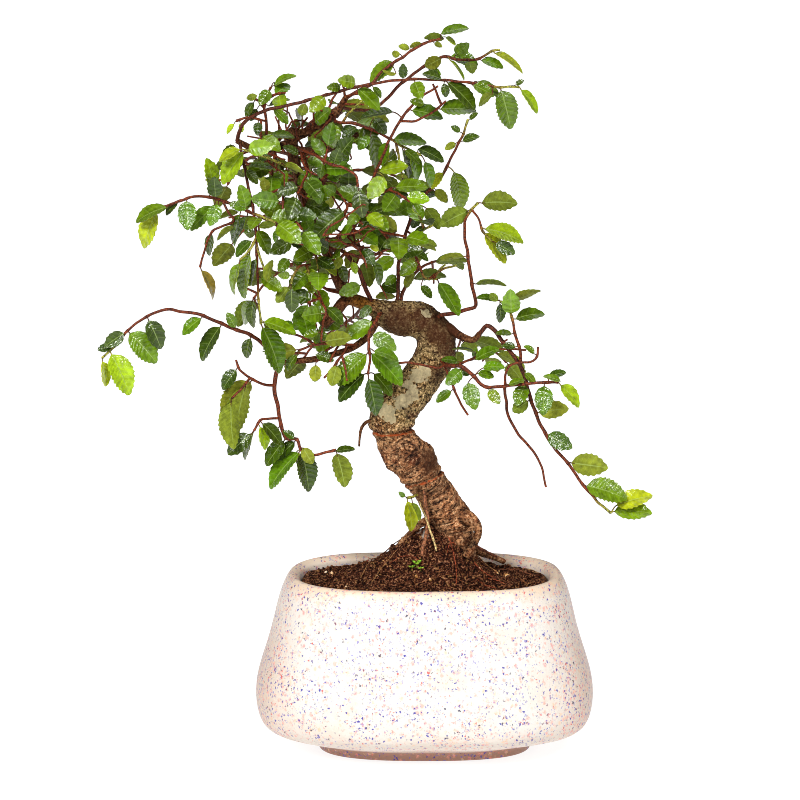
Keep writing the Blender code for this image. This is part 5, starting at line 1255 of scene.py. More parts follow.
def potting_soil(look):
    """Damp peat and compost: near black, red-brown where it dries, pale where salts bloom. The crumb pattern
    is darkest in its hollows, partly as painted shade.
    """
    material, tree, shader, place = blank_material("potting_soil")
    marked = node(tree, "Attribute", attribute_name="marks")
    marks = node(tree, "SeparateColor", {"Color": marked}).outputs
    crumb = node(tree, "TexNoise", {"Vector": place, "Scale": per(1.0), "Detail": 5.0, "Roughness": 0.8})
    cells = node(tree, "TexVoronoi", {"Vector": place, "Scale": per(0.9)})
    draw = node(tree, "SeparateColor", {"Color": cells.outputs["Color"]})
    # The ramp follows the crumb pattern that the bump raises: near black in its hollows, the peat's own
    # colour and painted shade together.
    colour = node(tree, "ValToRGB", {"Fac": crumb}, stops=(
        (0.42, "#050100"), (0.49, "#2c1108"), (0.56, "#6c3820"), (0.63, "#c8966e")))
    colour = layered(tree, colour, (
        (draw, 0.93, 0.99, 0.7, look.straw), (marks["Red"], 0.2, 0.8, 0.8, look.crust),
        (marks["Green"], 0.35, 0.8, 0.75, look.bloom),
    ))
    bump = node(tree, "Bump", {"Strength": 1.0, "Distance": 0.8 * MM, "Height": crumb})
    rough = node(tree, "MapRange", {"Value": crumb, "To Min": 1.0, "To Max": 0.45})
    wired(tree, shader, colour, rough, bump, {"Specular IOR Level": 0.10})
    return material


def elm_leaf(look):
    """An elm leaf: a waxy upper side that glints between its sunken veins, and a matt under side.

    A corner's tint is its own green, and its alpha says which side it is on. On the leaf's own map
    the rib is the line x = 0 and the side veins are lines of equal y.
    """
    material, tree, shader, place = blank_material("elm_leaf")
    tint = node(tree, "Attribute", attribute_name="tint")
    upper = tint.outputs["Alpha"]
    spread = node(tree, "SeparateXYZ", {"Vector": node(tree, "UVMap", uv_map="leaf")}).outputs
    rows = node(tree, "Math", {0: spread["Y"], 1: 0.5})
    off_vein = node(tree, "Math", {0: rows, 1: 0.5}, operation="PINGPONG")
    off_rib = node(tree, "Math", {0: spread["X"]}, operation="ABSOLUTE")
    side_vein = node(tree, "MapRange", {"Value": off_vein, "From Min": 0.10, "From Max": 0.02,
                                        "To Max": 0.10})
    rib = node(tree, "MapRange", {"Value": off_rib, "From Min": 0.07, "From Max": 0.03, "To Max": 0.42})
    vein = node(tree, "Math", {0: side_vein, 1: rib}, operation="MAXIMUM")
    mottle = node(tree, "TexNoise", {"Vector": place, "Scale": per(2.2), "Detail": 3.0})
    net = node(tree, "TexVoronoi", {"Vector": place, "Scale": per(0.7)}, feature="DISTANCE_TO_EDGE")
    wax = node(tree, "MapRange", {"Value": mottle, "From Min": 0.3, "From Max": 0.7,
                                  "To Min": 0.62, "To Max": 1.30})
    colour = node(tree, "Mix", {0: 1.0, 6: tint, 7: wax}, data_type="RGBA", blend_type="MULTIPLY")
    colour = node(tree, "Mix", {0: vein, 6: colour, 7: (*look.vein, 1.0)}, data_type="RGBA")
    puff = node(tree, "Math", {0: net, 1: 0.5, 2: off_vein}, operation="MULTIPLY_ADD")
    bump = node(tree, "Bump", {"Strength": 0.90, "Distance": 0.28 * MM, "Height": puff})
    gloss = node(tree, "MapRange", {"Value": upper, "To Min": 0.60, "To Max": 0.21})
    rough = node(tree, "MapRange", {"Value": mottle, "To Min": -0.08, "To Max": 0.08})
    total = node(tree, "Math", {0: gloss, 1: rough})
    coat = node(tree, "MapRange", {"Value": upper, "To Max": 0.9})
    tree.links.new(main_output(coat), shader.inputs["Coat Weight"])
    tree.links.new(main_output(bump), shader.inputs["Coat Normal"])
    wired(tree, shader, colour, total, bump, {"Specular IOR Level": 0.15, "Coat Roughness": 0.13})
    return material


def elm_twig(name):
    """A young elm stem: thin red-brown bark with pale pores, green where it is still growing."""
    material, tree, shader, place = blank_material(name)
    tint = node(tree, "Attribute", attribute_name="tint")
    grain = node(tree, "TexNoise", {"Vector": place, "Scale": per(0.7), "Detail": 3.0})
    shade = node(tree, "MapRange", {"Value": grain, "From Min": 0.38, "From Max": 0.64,
                                    "To Min": 0.30, "To Max": 1.90})
    colour = node(tree, "Mix", {0: 1.0, 6: tint, 7: shade}, data_type="RGBA", blend_type="MULTIPLY")
    bump = node(tree, "Bump", {"Strength": 0.6, "Distance": 0.2 * MM, "Height": grain})
    rough = node(tree, "MapRange", {"Value": grain, "To Min": 0.70, "To Max": 0.45})
    wired(tree, shader, colour, rough, bump, {"Specular IOR Level": 0.25})
    return material


def mineral_grain():
    """Pebbles and fired clay grains among the soil: ochre, with a dull sheen."""
    material, tree, shader, place = blank_material("mineral_grain")
    cloud = node(tree, "TexNoise", {"Vector": place, "Scale": per(2.5), "Detail": 3.0})
    colour = node(tree, "ValToRGB", {"Fac": cloud}, stops=(
        (0.35, "#9a5f2c"), (0.5, "#d9a25c"), (0.65, "#efdcc0")))
    bump = node(tree, "Bump", {"Strength": 0.4, "Distance": 0.2 * MM, "Height": cloud})
    rough = node(tree, "MapRange", {"Value": cloud, "To Min": 0.35, "To Max": 0.7})
    wired(tree, shader, colour, rough, bump, {})
    return material


def paper_floor(look):
    """Seamless studio paper: pale, matt, with a faint tooth."""
    material, tree, shader, place = blank_material("paper_floor")
    tooth = node(tree, "TexNoise", {"Vector": place, "Scale": per(1.5), "Detail": 2.0})
    colour = node(tree, "Mix", {0: 0.02, 6: (*look.paper, 1.0), 7: tooth.outputs["Color"]},
                  data_type="RGBA")
    bump = node(tree, "Bump", {"Strength": 0.05, "Distance": 0.1 * MM, "Height": tooth})
    rough = node(tree, "MapRange", {"Value": tooth, "To Min": 0.85, "To Max": 0.95})
    wired(tree, shader, colour, rough, bump, {
        "Emission Color": (1.0, 1.0, 1.0, 1.0), "Emission Strength": look.shine,
        "Specular IOR Level": 0.1,
    })
    return material


def deselect():
    if bpy.context.mode != "OBJECT":
        bpy.ops.object.mode_set(mode="OBJECT")
    bpy.ops.object.select_all(action="DESELECT")


def only(piece):
    """Selects one object alone, so that an operator acts on nothing else."""
    deselect()
    piece.select_set(True)
    bpy.context.view_layer.objects.active = piece


def with_modifier(piece, kind, **settings):
    """Adds a modifier to a piece and applies it."""
    only(piece)
    modifier = piece.modifiers.new(kind.lower(), kind)
    for name, value in settings.items():
        setattr(modifier, name, value)
    bpy.ops.object.modifier_apply(modifier=modifier.name)


def ring_body(name, outline, rings):
    """A body raised ring by ring from a filled outline.

    A ring is a height, its width and depth over the outline's own, and the place of its middle.
    """
    deselect()
    bpy.ops.mesh.primitive_circle_add(vertices=len(outline), radius=1.0, fill_type="NGON")
    body = bpy.context.active_object
    body.name = name
    for vertex, (x, y) in zip(body.data.vertices, outline):
        vertex.co = (x * MM, y * MM, rings[0][0] * MM)
    bpy.ops.object.mode_set(mode="EDIT")
    bpy.ops.mesh.select_all(action="SELECT")
    for (low, wide, deep, middle), (high, wider, deeper, next_middle) in zip(rings, rings[1:]):
        step = (Vector(next_middle) - Vector(middle)) * MM
        bpy.ops.mesh.extrude_region_move(
            TRANSFORM_OT_translate={"value": (step.x, step.y, (high - low) * MM)})
        bpy.ops.transform.resize(
            value=(wider / wide, deeper / deep, 1.0),
            center_override=(next_middle[0] * MM, next_middle[1] * MM, high * MM))
    bpy.ops.mesh.select_all(action="SELECT")
    bpy.ops.mesh.normals_make_consistent(inside=False)
    bpy.ops.object.mode_set(mode="OBJECT")
    return body


def settled(piece, materials, slot, *nodes):
    """Gives a finished piece its materials and body, and hides the solids it stands for."""
    for material in materials:
        piece.data.materials.append(material)
    piece.data.name = piece.name
    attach(piece, "root")
    if nodes:
        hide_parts(*nodes)
    return piece


def corner_colours(mesh, name, colours):
    """Stores red, green, blue and alpha at each corner of a mesh."""
    layer = mesh.color_attributes.new(name, "FLOAT_COLOR", "POINT")
    layer.data.foreach_set("color", np.asarray(colours, dtype=np.float32).ravel())


def coordinates(mesh):
    places = np.zeros(len(mesh.vertices) * 3)
    mesh.vertices.foreach_get("co", places)
    return places.reshape(-1, 3)


def swept(path, sides):
    """Corners and faces of a closed tube along a path, each point's fourth number its radius."""
    corners, faces = [], []
    normal = (path[1] - path[0]).to_3d().orthogonal()
    last = len(path) - 1
    for i, point in enumerate(path):
        ahead = (path[min(i + 1, last)] - path[max(i - 1, 0)]).to_3d().normalized()
        normal = (normal - ahead * normal.dot(ahead)).normalized()
        side = ahead.cross(normal)
        for k in range(sides):
            turn = 2 * math.pi * k / sides
            corners.append(point.to_3d() + (normal * math.cos(turn) + side * math.sin(turn)) * point[3])
    for i in range(last):
        for k in range(sides):
            over = (k + 1) % sides
            low, high = i * sides, (i + 1) * sides
            faces.append((low + k, low + over, high + over, high + k))
    faces.append(tuple(range(sides - 1, -1, -1)))
    faces.append(tuple(range(last * sides, (last + 1) * sides)))
    return corners, faces


class Bunch:
    """Corners and faces gathered for one piece, with what its materials read at each corner."""

    def __init__(self):
        self.corners = []
        self.faces = []
        self.tints = []
        self.maps = []
        self.slots = []

    def add(self, corners, faces, tints, maps=None, slot=0):
        first = len(self.corners)
        self.corners.extend(tuple(corner) for corner in corners)
        self.faces.extend(tuple(first + i for i in face) for face in faces)
        self.tints.extend(tints if len(tints) == len(corners) else [tints] * len(corners))
        self.maps.extend(maps if maps is not None else [(0.5, 0.5)] * len(corners))
        self.slots.extend([slot] * len(faces))

    def made(self, name):
        mesh = bpy.data.meshes.new(name)
        mesh.from_pydata(self.corners, [], self.faces)
        mesh.polygons.foreach_set("material_index", self.slots)
        corner_colours(mesh, "tint", self.tints)
        corner_of_loop = np.zeros(len(mesh.loops), dtype=np.int32)
        mesh.loops.foreach_get("vertex_index", corner_of_loop)
        layer = mesh.uv_layers.new(name="leaf")
        layer.data.foreach_set("uv", np.asarray(self.maps, dtype=np.float32)[corner_of_loop].ravel())
        mesh.shade_smooth()
        piece = bpy.data.objects.new(name, mesh)
        bpy.context.scene.collection.objects.link(piece)
        return piece


def model_pot(look):
    """The pot: raised ring by ring from its foot, over the rim and down inside, then rounded off."""
    floor, floor_width = POT_INSIDE[-1]
    foot = POT_OUTSIDE[0][1]
    rings = [(0.0, foot * 0.6), (0.0, foot - FOOT_EDGE), (FOOT_EDGE, foot), *POT_OUTSIDE[1:]]
    rings.append((POT_RIM[0] + RIM_CREST, POT_RIM[1]))
    levels = [(height, width, outside_depth(height, width), (0, 0)) for height, width in rings]
    levels += [(height, width, inside_depth(height, width), (0, 0)) for height, width in POT_INSIDE]
    levels.append((floor, floor_width * 0.5, inside_depth(floor, floor_width) * 0.5, (0, 0)))
    pot = ring_body("glazed_pot", oval(levels[0][1], levels[0][2], look.sectors), levels)
    with_modifier(pot, "SUBSURF", levels=2, render_levels=2)
    for offset in (-DRAIN_OFFSET, DRAIN_OFFSET):
        deselect()
        bpy.ops.mesh.primitive_cylinder_add(
            vertices=32, radius=DRAIN_RADIUS * MM, depth=4 * floor * MM, location=(offset * MM, 0, 0))
        drill = bpy.context.active_object
        with_modifier(pot, "BOOLEAN", operation="DIFFERENCE", object=drill)
        bpy.data.objects.remove(drill)
    for vertex in pot.data.vertices:
        if vertex.co.z > 2 * MM:
            swell = noise.noise(vertex.co / (26 * MM)) * look.unevenness
            vertex.co += vertex.normal * swell
    pot.data.shade_smooth()
    pot.data.set_sharp_from_angle(angle=math.radians(POT_CREASE))
    return pot


def clod_height(place, spread, height):
    """The top of rounded clods of one size, packed side by side."""
    nearest = noise.voronoi(place / spread)[0][0]
    return height * max(0.0, 0.75 - nearest)


def model_soil(look):
    """The filling, its surface heaped to the trunk and broken into clods and crumbs."""
    floor = POT_INSIDE[-1][0]
    levels = []
    for height, width in reversed(POT_INSIDE):
        if height < SOIL_LEVEL:
            lift = SEAT_GAP if height == floor else 0.0
            deep = inside_depth(height, width) - SEAT_GAP
            levels.append((height + lift, width - SEAT_GAP, deep, (0, 0)))
    start = oval(levels[0][1], levels[0][2], look.sectors)
    edge_width = POT_INSIDE[1][1] - EDGE_GAP
    edge_depth = inside_depth(*POT_INSIDE[1]) - EDGE_GAP
    for i in range(look.rings):
        share = 1 - i / look.rings
        middle = (MOUND_CENTRE[0] * (1 - share), MOUND_CENTRE[1] * (1 - share))
        levels.append((SOIL_LEVEL + i * 0.01, edge_width * share, edge_depth * share, middle))
    soil = ring_body("potting_soil", start, levels)
    moulds = [(spot(column, row, 0) / MM, spread) for column, row, spread in MOULD_SPOTS]
    crust_x, crust_y, crust_share = DRY_CRUST
    marks = []
    for vertex in soil.data.vertices:
        x, y, z = vertex.co / MM
        if z < SOIL_LEVEL - 0.1:
            marks.append((0, 0, 0, 1))
            continue
        share = abs(x / edge_width) ** POT_SQUARENESS + abs(y / edge_depth) ** POT_SQUARENESS
        flat = Vector((x, y, 0))
        lump = clod_height(flat, 2.6, 1.1) + clod_height(flat, 1.3, 0.8)
        lump += 0.6 * noise.noise(flat / 0.8) + 0.9 * noise.noise(flat / 6.0) - 0.3
        fade = clamped((SOIL_FADE - share) / 0.06)
        vertex.co.z = (soil_height(x, y) + lump * fade) * MM
        crust = 1.0 if x > crust_x and y > crust_y and share > crust_share else 0.0
        here = Vector((x, 0, vertex.co.z / MM))
        mould = max(1.2 - (middle - here).length / spread for middle, spread in moulds)
        marks.append((crust, max(0.0, mould + 0.4 * noise.noise(flat / 1.6)) if y < 2 else 0.0, 0, 1))
    corner_colours(soil.data, "marks", marks)
    soil.data.shade_smooth()
    return soil


def soil_spot(column, row):
    """The place on the soil's surface that shows at a column and a row of the picture, in metres."""
    places = [spot(column, row, depth / 2) for depth in range(-70, 30)]
    return min(places, key=lambda place: abs(place.z / MM - soil_height(place.x / MM, place.y / MM)))


def soil_place(chance, reach):
    """A random place on the soil's surface, as far out as a share of its outline."""
    while True:
        x, y = chance.uniform(-1, 1), chance.uniform(-1, 1)
        if abs(x) ** POT_SQUARENESS + abs(y) ** POT_SQUARENESS < reach:
            break
    x *= POT_INSIDE[1][1]
    y *= inside_depth(*POT_INSIDE[1])
    return Vector((x, y, soil_height(x, y) + 0.5))


def scatter_grains(name, count, sizes, roundness, chance):
    """Grains strewn over the soil, each a copy of one faceted ball, squashed and turned its own way."""
    deselect()
    bpy.ops.mesh.primitive_ico_sphere_add(subdivisions=roundness, radius=1.0)
    ball = bpy.context.active_object
    places = coordinates(ball.data)
    faces = [tuple(face.vertices) for face in ball.data.polygons]
    bpy.data.objects.remove(ball)
    bunch = Bunch()
    for i in range(count):
        size = chance.uniform(*sizes) * chance.uniform(0.6, 1.0)
        pole = Vector((chance.gauss(0, 1), chance.gauss(0, 1), 1))
        turn = Matrix.Rotation(chance.uniform(0, math.tau), 3, pole)
        flat = (chance.uniform(0.7, 1.5), chance.uniform(0.7, 1.2), chance.uniform(0.5, 0.9), 1)
        shape = turn @ Matrix.Diagonal(flat).to_3x3() * size * MM
        middle = (soil_place(chance, LITTER_REACH) + Vector((0, 0, size * 0.3))) * MM
        corners = []
        for place in places:
            bulge = 1 + 0.35 * noise.noise(Vector(place) * 1.7 + Vector((i, 0, 0)))
            corners.append(middle + shape @ Vector(place) * bulge)
        bunch.add(corners, faces, (0, 0, 0, 1))
    return bunch.made(name)


def scatter_fibres(count, chance):
    """Root hairs and peat fibres that curl over the soil."""
    bunch = Bunch()
    for i in range(count):
        middle = soil_place(chance, 0.80)
        heading = chance.uniform(0, math.tau)
        length, bend = chance.uniform(6, 20), chance.uniform(-1.6, 1.6)
        radius = chance.uniform(0.13, 0.28)
        path, steps = [], 12
        for k in range(steps + 1):
            turn = heading + bend * k / steps
            middle = middle + Vector((math.cos(turn), math.sin(turn), 0)) * length / steps
            arc = 0.9 + 1.1 * math.sin(math.pi * k / steps) * chance.uniform(0.6, 1.0)
            z = soil_height(middle.x, middle.y) + arc
            path.append(Vector((middle.x, middle.y, z, radius * (1 - 0.5 * k / steps))) * MM)
        inside = all(
            abs(p.x / MM / POT_INSIDE[1][1]) ** POT_SQUARENESS
            + abs(p.y / MM / inside_depth(*POT_INSIDE[1])) ** POT_SQUARENESS < LITTER_REACH for p in path)
        if inside:
            bunch.add(*swept(path, SLIM_SIDES), linear(chance.choice(FIBRE_COLOURS)))
    return bunch.made("soil_fibres")


def model_trunk(look):
    """The trunk with its roots and bare limbs: tubes melted into one skin, then wrinkled as bark."""
    trunk = smooth(limb_route(TRUNK), CLOSE_STEP * MM)
    bunch = Bunch()
    bunch.add(*swept(trunk, TRUNK_SIDES), (0, 0, 0, 1))
    samples = [(point, "trunk") for point in trunk]
    for name, points in {**LIMBS, **FINE_LIMBS}.items():
        if not name.startswith("root_front"):
            path = smooth(limb_route(points), CLOSE_STEP * MM)
            bunch.add(*swept(path, LIMB_SIDES), (0, 0, 0, 1))
            samples += [(point, name) for point in path]
    wood = bunch.made("elm_trunk")
    with_modifier(wood, "REMESH", mode="VOXEL", voxel_size=look.voxel, use_smooth_shade=True)
    with_modifier(wood, "SMOOTH", factor=0.5, iterations=2)
    wrinkle_bark(wood, samples, len(trunk), look)
    wood.data.shade_smooth()
    return wood


def model_aerial_roots():
    """The thin roots that leave the trunk and run free to the soil."""
    bunch = Bunch()
    for code, points in AERIAL_ROOTS:
        path = []
        for point in smooth(limb_route(points), 0.9 * MM):
            place = point.to_3d()
            sway = noise.noise(place / (2.5 * MM)) * 0.25 * MM
            knobbly = 1 + 0.25 * noise.noise(place / (1.2 * MM))
            path.append(Vector((place.x + sway, place.y, place.z, point[3] * knobbly)))
        bunch.add(*swept(path, ROOT_SIDES), linear(code))
    return bunch.made("aerial_roots")


def model_seedlings():
    """Seedlings with a few small oval leaves each, among the crumbs."""
    bunch = Bunch()
    for column, row, length in SEEDLINGS:
        foot = soil_spot(column, row)
        chance = random.Random(column)
        top = foot + Vector((0, 0, length * 0.9 * MM))
        stalk = [Vector((*foot.lerp(top, i / 3), 0.16 * MM)) for i in range(4)]
        bunch.add(*swept(stalk, SLIM_SIDES), linear(SEEDLING_STALK))
        for i in range(4):
            turn = math.tau * i / 4 + chance.uniform(-0.4, 0.4)
            out = Vector((math.cos(turn), math.sin(turn), chance.uniform(0.3, 0.9))).normalized()
            path = [
                Vector((*(top + out * length * share * MM), wide * length * MM))
                for share, wide in ((0.0, 0.06), (0.25, 0.16), (0.5, 0.24), (0.75, 0.18), (1.0, 0.05))
            ]
            corners, faces = swept(path, 6)
            bunch.add(corners, faces, linear(chance.choice(SEEDLING_COLOURS)))
    return bunch.made("seedlings")


def wrinkle_bark(wood, samples, trunk_count, look):
    """Moves the skin in and out: gnarls, knobs, ring scars, wrinkles and grains, and marks it."""
    points = np.array([tuple(point) for point, name in samples])
    places = coordinates(wood.data)
    nearest = np.concatenate([
        np.argmin(np.linalg.norm(block[:, None, :] - points[None, :, :3], axis=2) - points[:, 3], axis=1)
        for block in np.array_split(places, max(1, len(places) // 4000))
    ])
    walked = [0.0]
    for before, after in zip(samples[:trunk_count], samples[1:trunk_count]):
        walked.append(walked[-1] + (after[0] - before[0]).to_3d().length / MM)
    walked += [0.0] * (len(samples) - trunk_count)
    rings = []
    for column, row, depth, lean in RING_SCARS:
        lean = math.radians(lean)
        rings.append((spot(column, row, depth), Vector((-math.sin(lean), 0, math.cos(lean)))))
    knot = spot(*KNOT)
    knobs = [(spot(*knob[:3]), knob[3], knob[4]) for knob in KNOBS]
    lichens = [(spot(*lichen[:3]), lichen[3]) for lichen in LICHENS]
    dark_patches = [(spot(*dark_patch[:3]), dark_patch[3]) for dark_patch in DARK_PATCHES]
    amber = spot(*AMBER_BARK[:3])
    marks, hues = [], []
    normals = [vertex.normal.copy() for vertex in wood.data.vertices]
    for vertex, outward, found in zip(wood.data.vertices, normals, nearest):
        place = vertex.co.copy()
        point, name = samples[found]
        radius = point[3] / MM
        here = place / MM
        share = min(1.0, radius / KNOB_FULL_RADIUS)
        on_trunk = name == "trunk" and radius > THICK_RADIUS
        lift = GNARL_HEIGHT * noise.noise(here / GNARL_SPREAD) * share
        for centre, spread, bump in knobs:
            lift += bump * hump((place - centre).length, spread * MM) * share
        grain = noise.noise(here / 1.3) + 0.6 * noise.noise(here / 0.6)
        scar, low, along, groove = 0.0, 0.0, 0.0, 0.0
        if on_trunk:
            along = walked[found] + (place - point.to_3d()).dot(axis_at(samples, found, trunk_count)) / MM
            for centre, upward in rings:
                off = (place - centre).dot(upward) / MM + 0.5 * noise.noise(here / 4.0)
                lift += 0.8 * hump(off - 1.8, 1.3) - 0.9 * hump(off, 0.5)
                lift += 0.3 * hump(off + 1.6, 1.0)
                scar = max(scar, hump(off + 0.9, 0.8))
            low = clamped((look.wrinkled / MM - along) / 20)
            wrinkle = noise.noise(Vector((here.x / 7, here.y / 7, along / 1.3 + 40)))
            lift += (0.10 + 0.26 * low) * wrinkle
            fold = 1 - 2 * abs(noise.noise(Vector((here.x / 8, here.y / 8, along / 4.5 + 9))))
            folded = hump(along - FOLDS[0], FOLDS[1])
            lift += (0.12 + FOLDS[2] * folded) * (fold - 0.6)
            off_knot = (place - knot) / MM
            off_knot.x = off_knot.x * 0.8 + off_knot.z * 0.25
            away = off_knot.length + 1.1 * noise.noise(here / 2.2)
            swirl = hump(away, KNOT_SPREAD)
            grooves = math.sin(away * 2.9 - 0.9)
            lift += swirl * (1.0 + 0.85 * grooves)
            groove = swirl * max(0.0, -grooves)
            cracks = noise.voronoi(Vector((here.x / 2.4, here.y / 2.4, along / 3.4)))[0]
            lift -= 0.34 * max(0.0, 1 - (cracks[1] - cracks[0]) / 0.16)
            lift += 0.30 * noise.noise(here / 2.3)
        lift += 0.20 * grain * (0.35 + 0.65 * share)
        vertex.co = place + outward * lift * MM
        lichen = max(1.0 - 0.5 * (place - centre).length / (spread * MM) for centre, spread in lichens)
        # Darker bark round the listed dark patches.
        dark_patch = max(hump((place - centre).length, spread * MM) for centre, spread in dark_patches)
        root = name.startswith("root")
        slim = 0.35 if root else clamped((5.0 - radius) / 2.0)
        if not on_trunk:
            along = here.z * 0.25
        yellow = max(0.0, 1.1 - (place - amber).length / (AMBER_BARK[3] * MM))
        # Painted shade for the hollows of the skin and the grooves round the knot.
        crevice_shade = clamped(max(-lift * 0.9, groove * 1.7))
        reddish = clamped((RED_BELOW - along) / 14) if on_trunk else 0.9 * root
        marks.append((max(0.0, lichen) if on_trunk else 0.0, scar, crevice_shade, along / WALK_SCALE))
        hues.append((slim, dark_patch, yellow, reddish))
    corner_colours(wood.data, "marks", marks)
    corner_colours(wood.data, "hues", hues)


def axis_at(samples, index, count):
    """The trunk's direction at one of its samples."""
    before, after = samples[max(index - 1, 0)][0], samples[min(index + 1, count - 1)][0]
    return (after - before).to_3d().normalized()


def leaf_blank(teeth):
    """One flat leaf blank a unit long: a grid closed to a point at each end, given two sides.

    Returns its corners, as across from -1 to 1, along from 0 to 1 and side -1 or 1, and its faces.
    """
    deselect()
    bpy.ops.mesh.primitive_grid_add(x_subdivisions=LEAF_COLUMNS, y_subdivisions=2 * teeth, size=2.0)
    blank = bpy.context.active_object
    bpy.ops.object.mode_set(mode="EDIT")
    bpy.ops.mesh.select_mode(type="VERT")
    for end in (-1.0, 1.0):
        bpy.ops.mesh.select_all(action="DESELECT")
        shell = bmesh.from_edit_mesh(blank.data)
        for vertex in shell.verts:
            vertex.select = abs(vertex.co.y - end) < 0.01
        bmesh.update_edit_mesh(blank.data)
        bpy.ops.mesh.merge(type="CENTER")
    bpy.ops.object.mode_set(mode="OBJECT")
    with_modifier(blank, "SOLIDIFY", thickness=2.0, offset=0.0)
    corners = coordinates(blank.data)
    corners[:, 1] = (corners[:, 1] + 1) / 2
    faces = [tuple(face.vertices) for face in blank.data.polygons]
    bpy.data.objects.remove(blank)
    return corners, faces


def leaf_corners(leaf, blank, teeth, thickness, chance):
    """The blank shaped to a leaf: toothed, folded, arched, pleated between its veins and twisted."""
    out, along, side = blank[:, 0], blank[:, 1], np.sign(blank[:, 2])
    length = leaf["length"]
    edge = np.abs(out)
    tip = np.round(along * 2 * teeth) % 2
    outline = np.interp(along, *zip(*LEAF_OUTLINE))
    width = outline * (1 + TOOTH_DEPTH * (tip - 0.6) * edge ** 4)
    across = out * width * length * LEAF_WIDTH_SHARE / 2
    run = along - VEIN_SLANT * np.sin(math.pi * along) * (1 - edge) + 0.022 * tip * edge ** 4
    lift = LEAF_FOLD * np.abs(across) + 4 * leaf["arch"] * length * run * (1 - run)
    lift += PLEAT * length * (0.5 - tip) * edge * (1.5 - edge) * np.sin(math.pi * np.clip(along, 0, 1)) ** 0.3
    twist, curl, wave = chance.uniform(-0.16, 0.16), chance.uniform(-0.02, 0.05), chance.uniform(0, 6.3)
    lift += twist * across * run - curl * length * run ** 3
    lift += 0.012 * length * edge ** 2 * np.sin(2.3 * math.pi * along + wave + (out > 0) * 2)
    lift += side * thickness / 2
    axis, normal = np.array(leaf["axis"]), np.array(leaf["normal"])
    cross = np.cross(normal, axis)
    return (
        np.array(leaf["base"]) + np.outer(run * length, axis) + np.outer(across, cross)
        + np.outer(lift, normal)
    )


def leaf_tint(look, chance):
    """A leaf's two greens, each a little its own."""
    shade, yellow = chance.uniform(0.72, 1.25), chance.uniform(0.92, 1.22)
    upper, under = (linear(code)[:3] for code in LEAF_COLOURS[look])
    return tuple(
        (red * shade * yellow, green * shade, blue * shade * 0.8) for red, green, blue in (upper, under))


def add_leaf(bunch, leaf, pattern, teeth, look, chance):
    """One leaf with its petiole, its upper side marked by alpha 1."""
    blank, faces = pattern
    # Leaves behind get darker greens, as painted shade inside the crown.
    looks = SHADED_BACK_LOOKS if leaf["base"].y > BACK_DEPTH * MM else RULE_LOOKS
    upper, under = leaf_tint(leaf.get("look") or chance.choice(looks), chance)
    sides = [(*upper, 1.0) if corner[2] > 0 else (*under, 0.0) for corner in blank]
    maps = [(corner[0], corner[1] * teeth) for corner in blank]
    bunch.add(leaf_corners(leaf, blank, teeth, look.thickness, chance), faces, sides, maps)
    foot, base = leaf["foot"], leaf["base"]
    reach = base + leaf["axis"] * leaf["length"] * 0.10
    bow = Vector((0, 0, 0.10 * (base - foot).length))
    width = PETIOLE_RADIUS * MM * min(1.0, 0.55 + leaf["length"] / (40 * MM))
    route = [Vector((*foot, width * 1.25)), Vector((*(foot.lerp(base, 0.5) + bow), width)),
             Vector((*base, width)), Vector((*reach, width * 0.4))]
    stalk = linear(PETIOLE_COLOURS[leaf.get("look") not in ("y", "b")])
    bunch.add(*swept(smooth(route, 1.2 * MM), SLIM_SIDES), stalk, slot=1)


def add_stem(bunch, path, feet, tip_length):
    """One stem, swollen where its leaves stand, darker at its foot and green at a young tip."""
    left = [0.0]
    for before, after in zip(path[::-1], path[::-1][1:]):
        left.append(left[-1] + (after - before).to_3d().length / MM)
    left = left[::-1]
    old, red, young = (linear(code) for code in STEM_COLOURS)
    points, tints = [], []
    for i, point in enumerate(path):
        place = point.to_3d()
        near = min(((place - foot).length / MM for foot in feet), default=9.0)
        radius = point[3] * STEM_SLIMNESS + 0.16 * MM * hump(near, 1.0)
        sway = Vector((noise.noise(place / (5 * MM)), 0, noise.noise(place / (5 * MM) + Vector((7, 3, 1)))))
        shift = sway * 0.45 * MM * min(1.0, i / 4) * min(1.0, (len(path) - 1 - i) / 3)
        points.append(Vector((*(place + shift), radius)))
        age = min(1.0, left[i] / 70)
        blush = 0.5 + 0.5 * noise.noise(place / (12 * MM))
        tone = [red[k] * (1 - age * blush) + old[k] * age * blush for k in range(3)]
        fresh = clamped((tip_length - left[i]) / 8 + 0.5) if tip_length else 0.0
        tone = [tone[k] * (1 - fresh) + young[k] * fresh for k in range(3)]
        tints.append((*tone, 1.0))
    corners, faces = swept(points, STEM_SIDES)
    bunch.add(corners, faces, [tint for tint in tints for k in range(STEM_SIDES)], slot=1)


def model_shoot(shoot, blanks, look):
    """One shoot: its stems, its fine twigs, and its leaves on their petioles."""
    bunch = Bunch()
    chance = random.Random(shoot["name"] + "_looks")
    feet = [leaf["foot"] for leaf in shoot["leaves"]]
    for path in shoot["paths"] + shoot["twigs"]:
        add_stem(bunch, path, feet, YOUNG_TIPS.get(shoot["name"], 0))
    for leaf in shoot["leaves"]:
        size = leaf["length"] / MM
        count = TEETH if size > LONG_LEAF else SOME_TEETH if size > SMALL_LEAF else FEW_TEETH
        add_leaf(bunch, leaf, blanks[count], count, look, chance)
    piece = bunch.made(shoot["name"] + "_foliage")
    piece.data.set_sharp_from_angle(angle=math.radians(LEAF_CREASE))
    return piece


def add_light(name, kind, place, power, **settings):
    """A lamp that shines from a place towards the middle of the tree."""
    facing = Vector((AIM_X * MM, 0, AIM_Z * MM)) - Vector(place)
    deselect()
    bpy.ops.object.light_add(type=kind, location=place, rotation=facing.to_track_quat("-Z", "Y").to_euler())
    lamp = bpy.context.active_object
    lamp.name = name
    lamp.data.energy = power
    for setting, value in settings.items():
        setattr(lamp.data, setting, value)


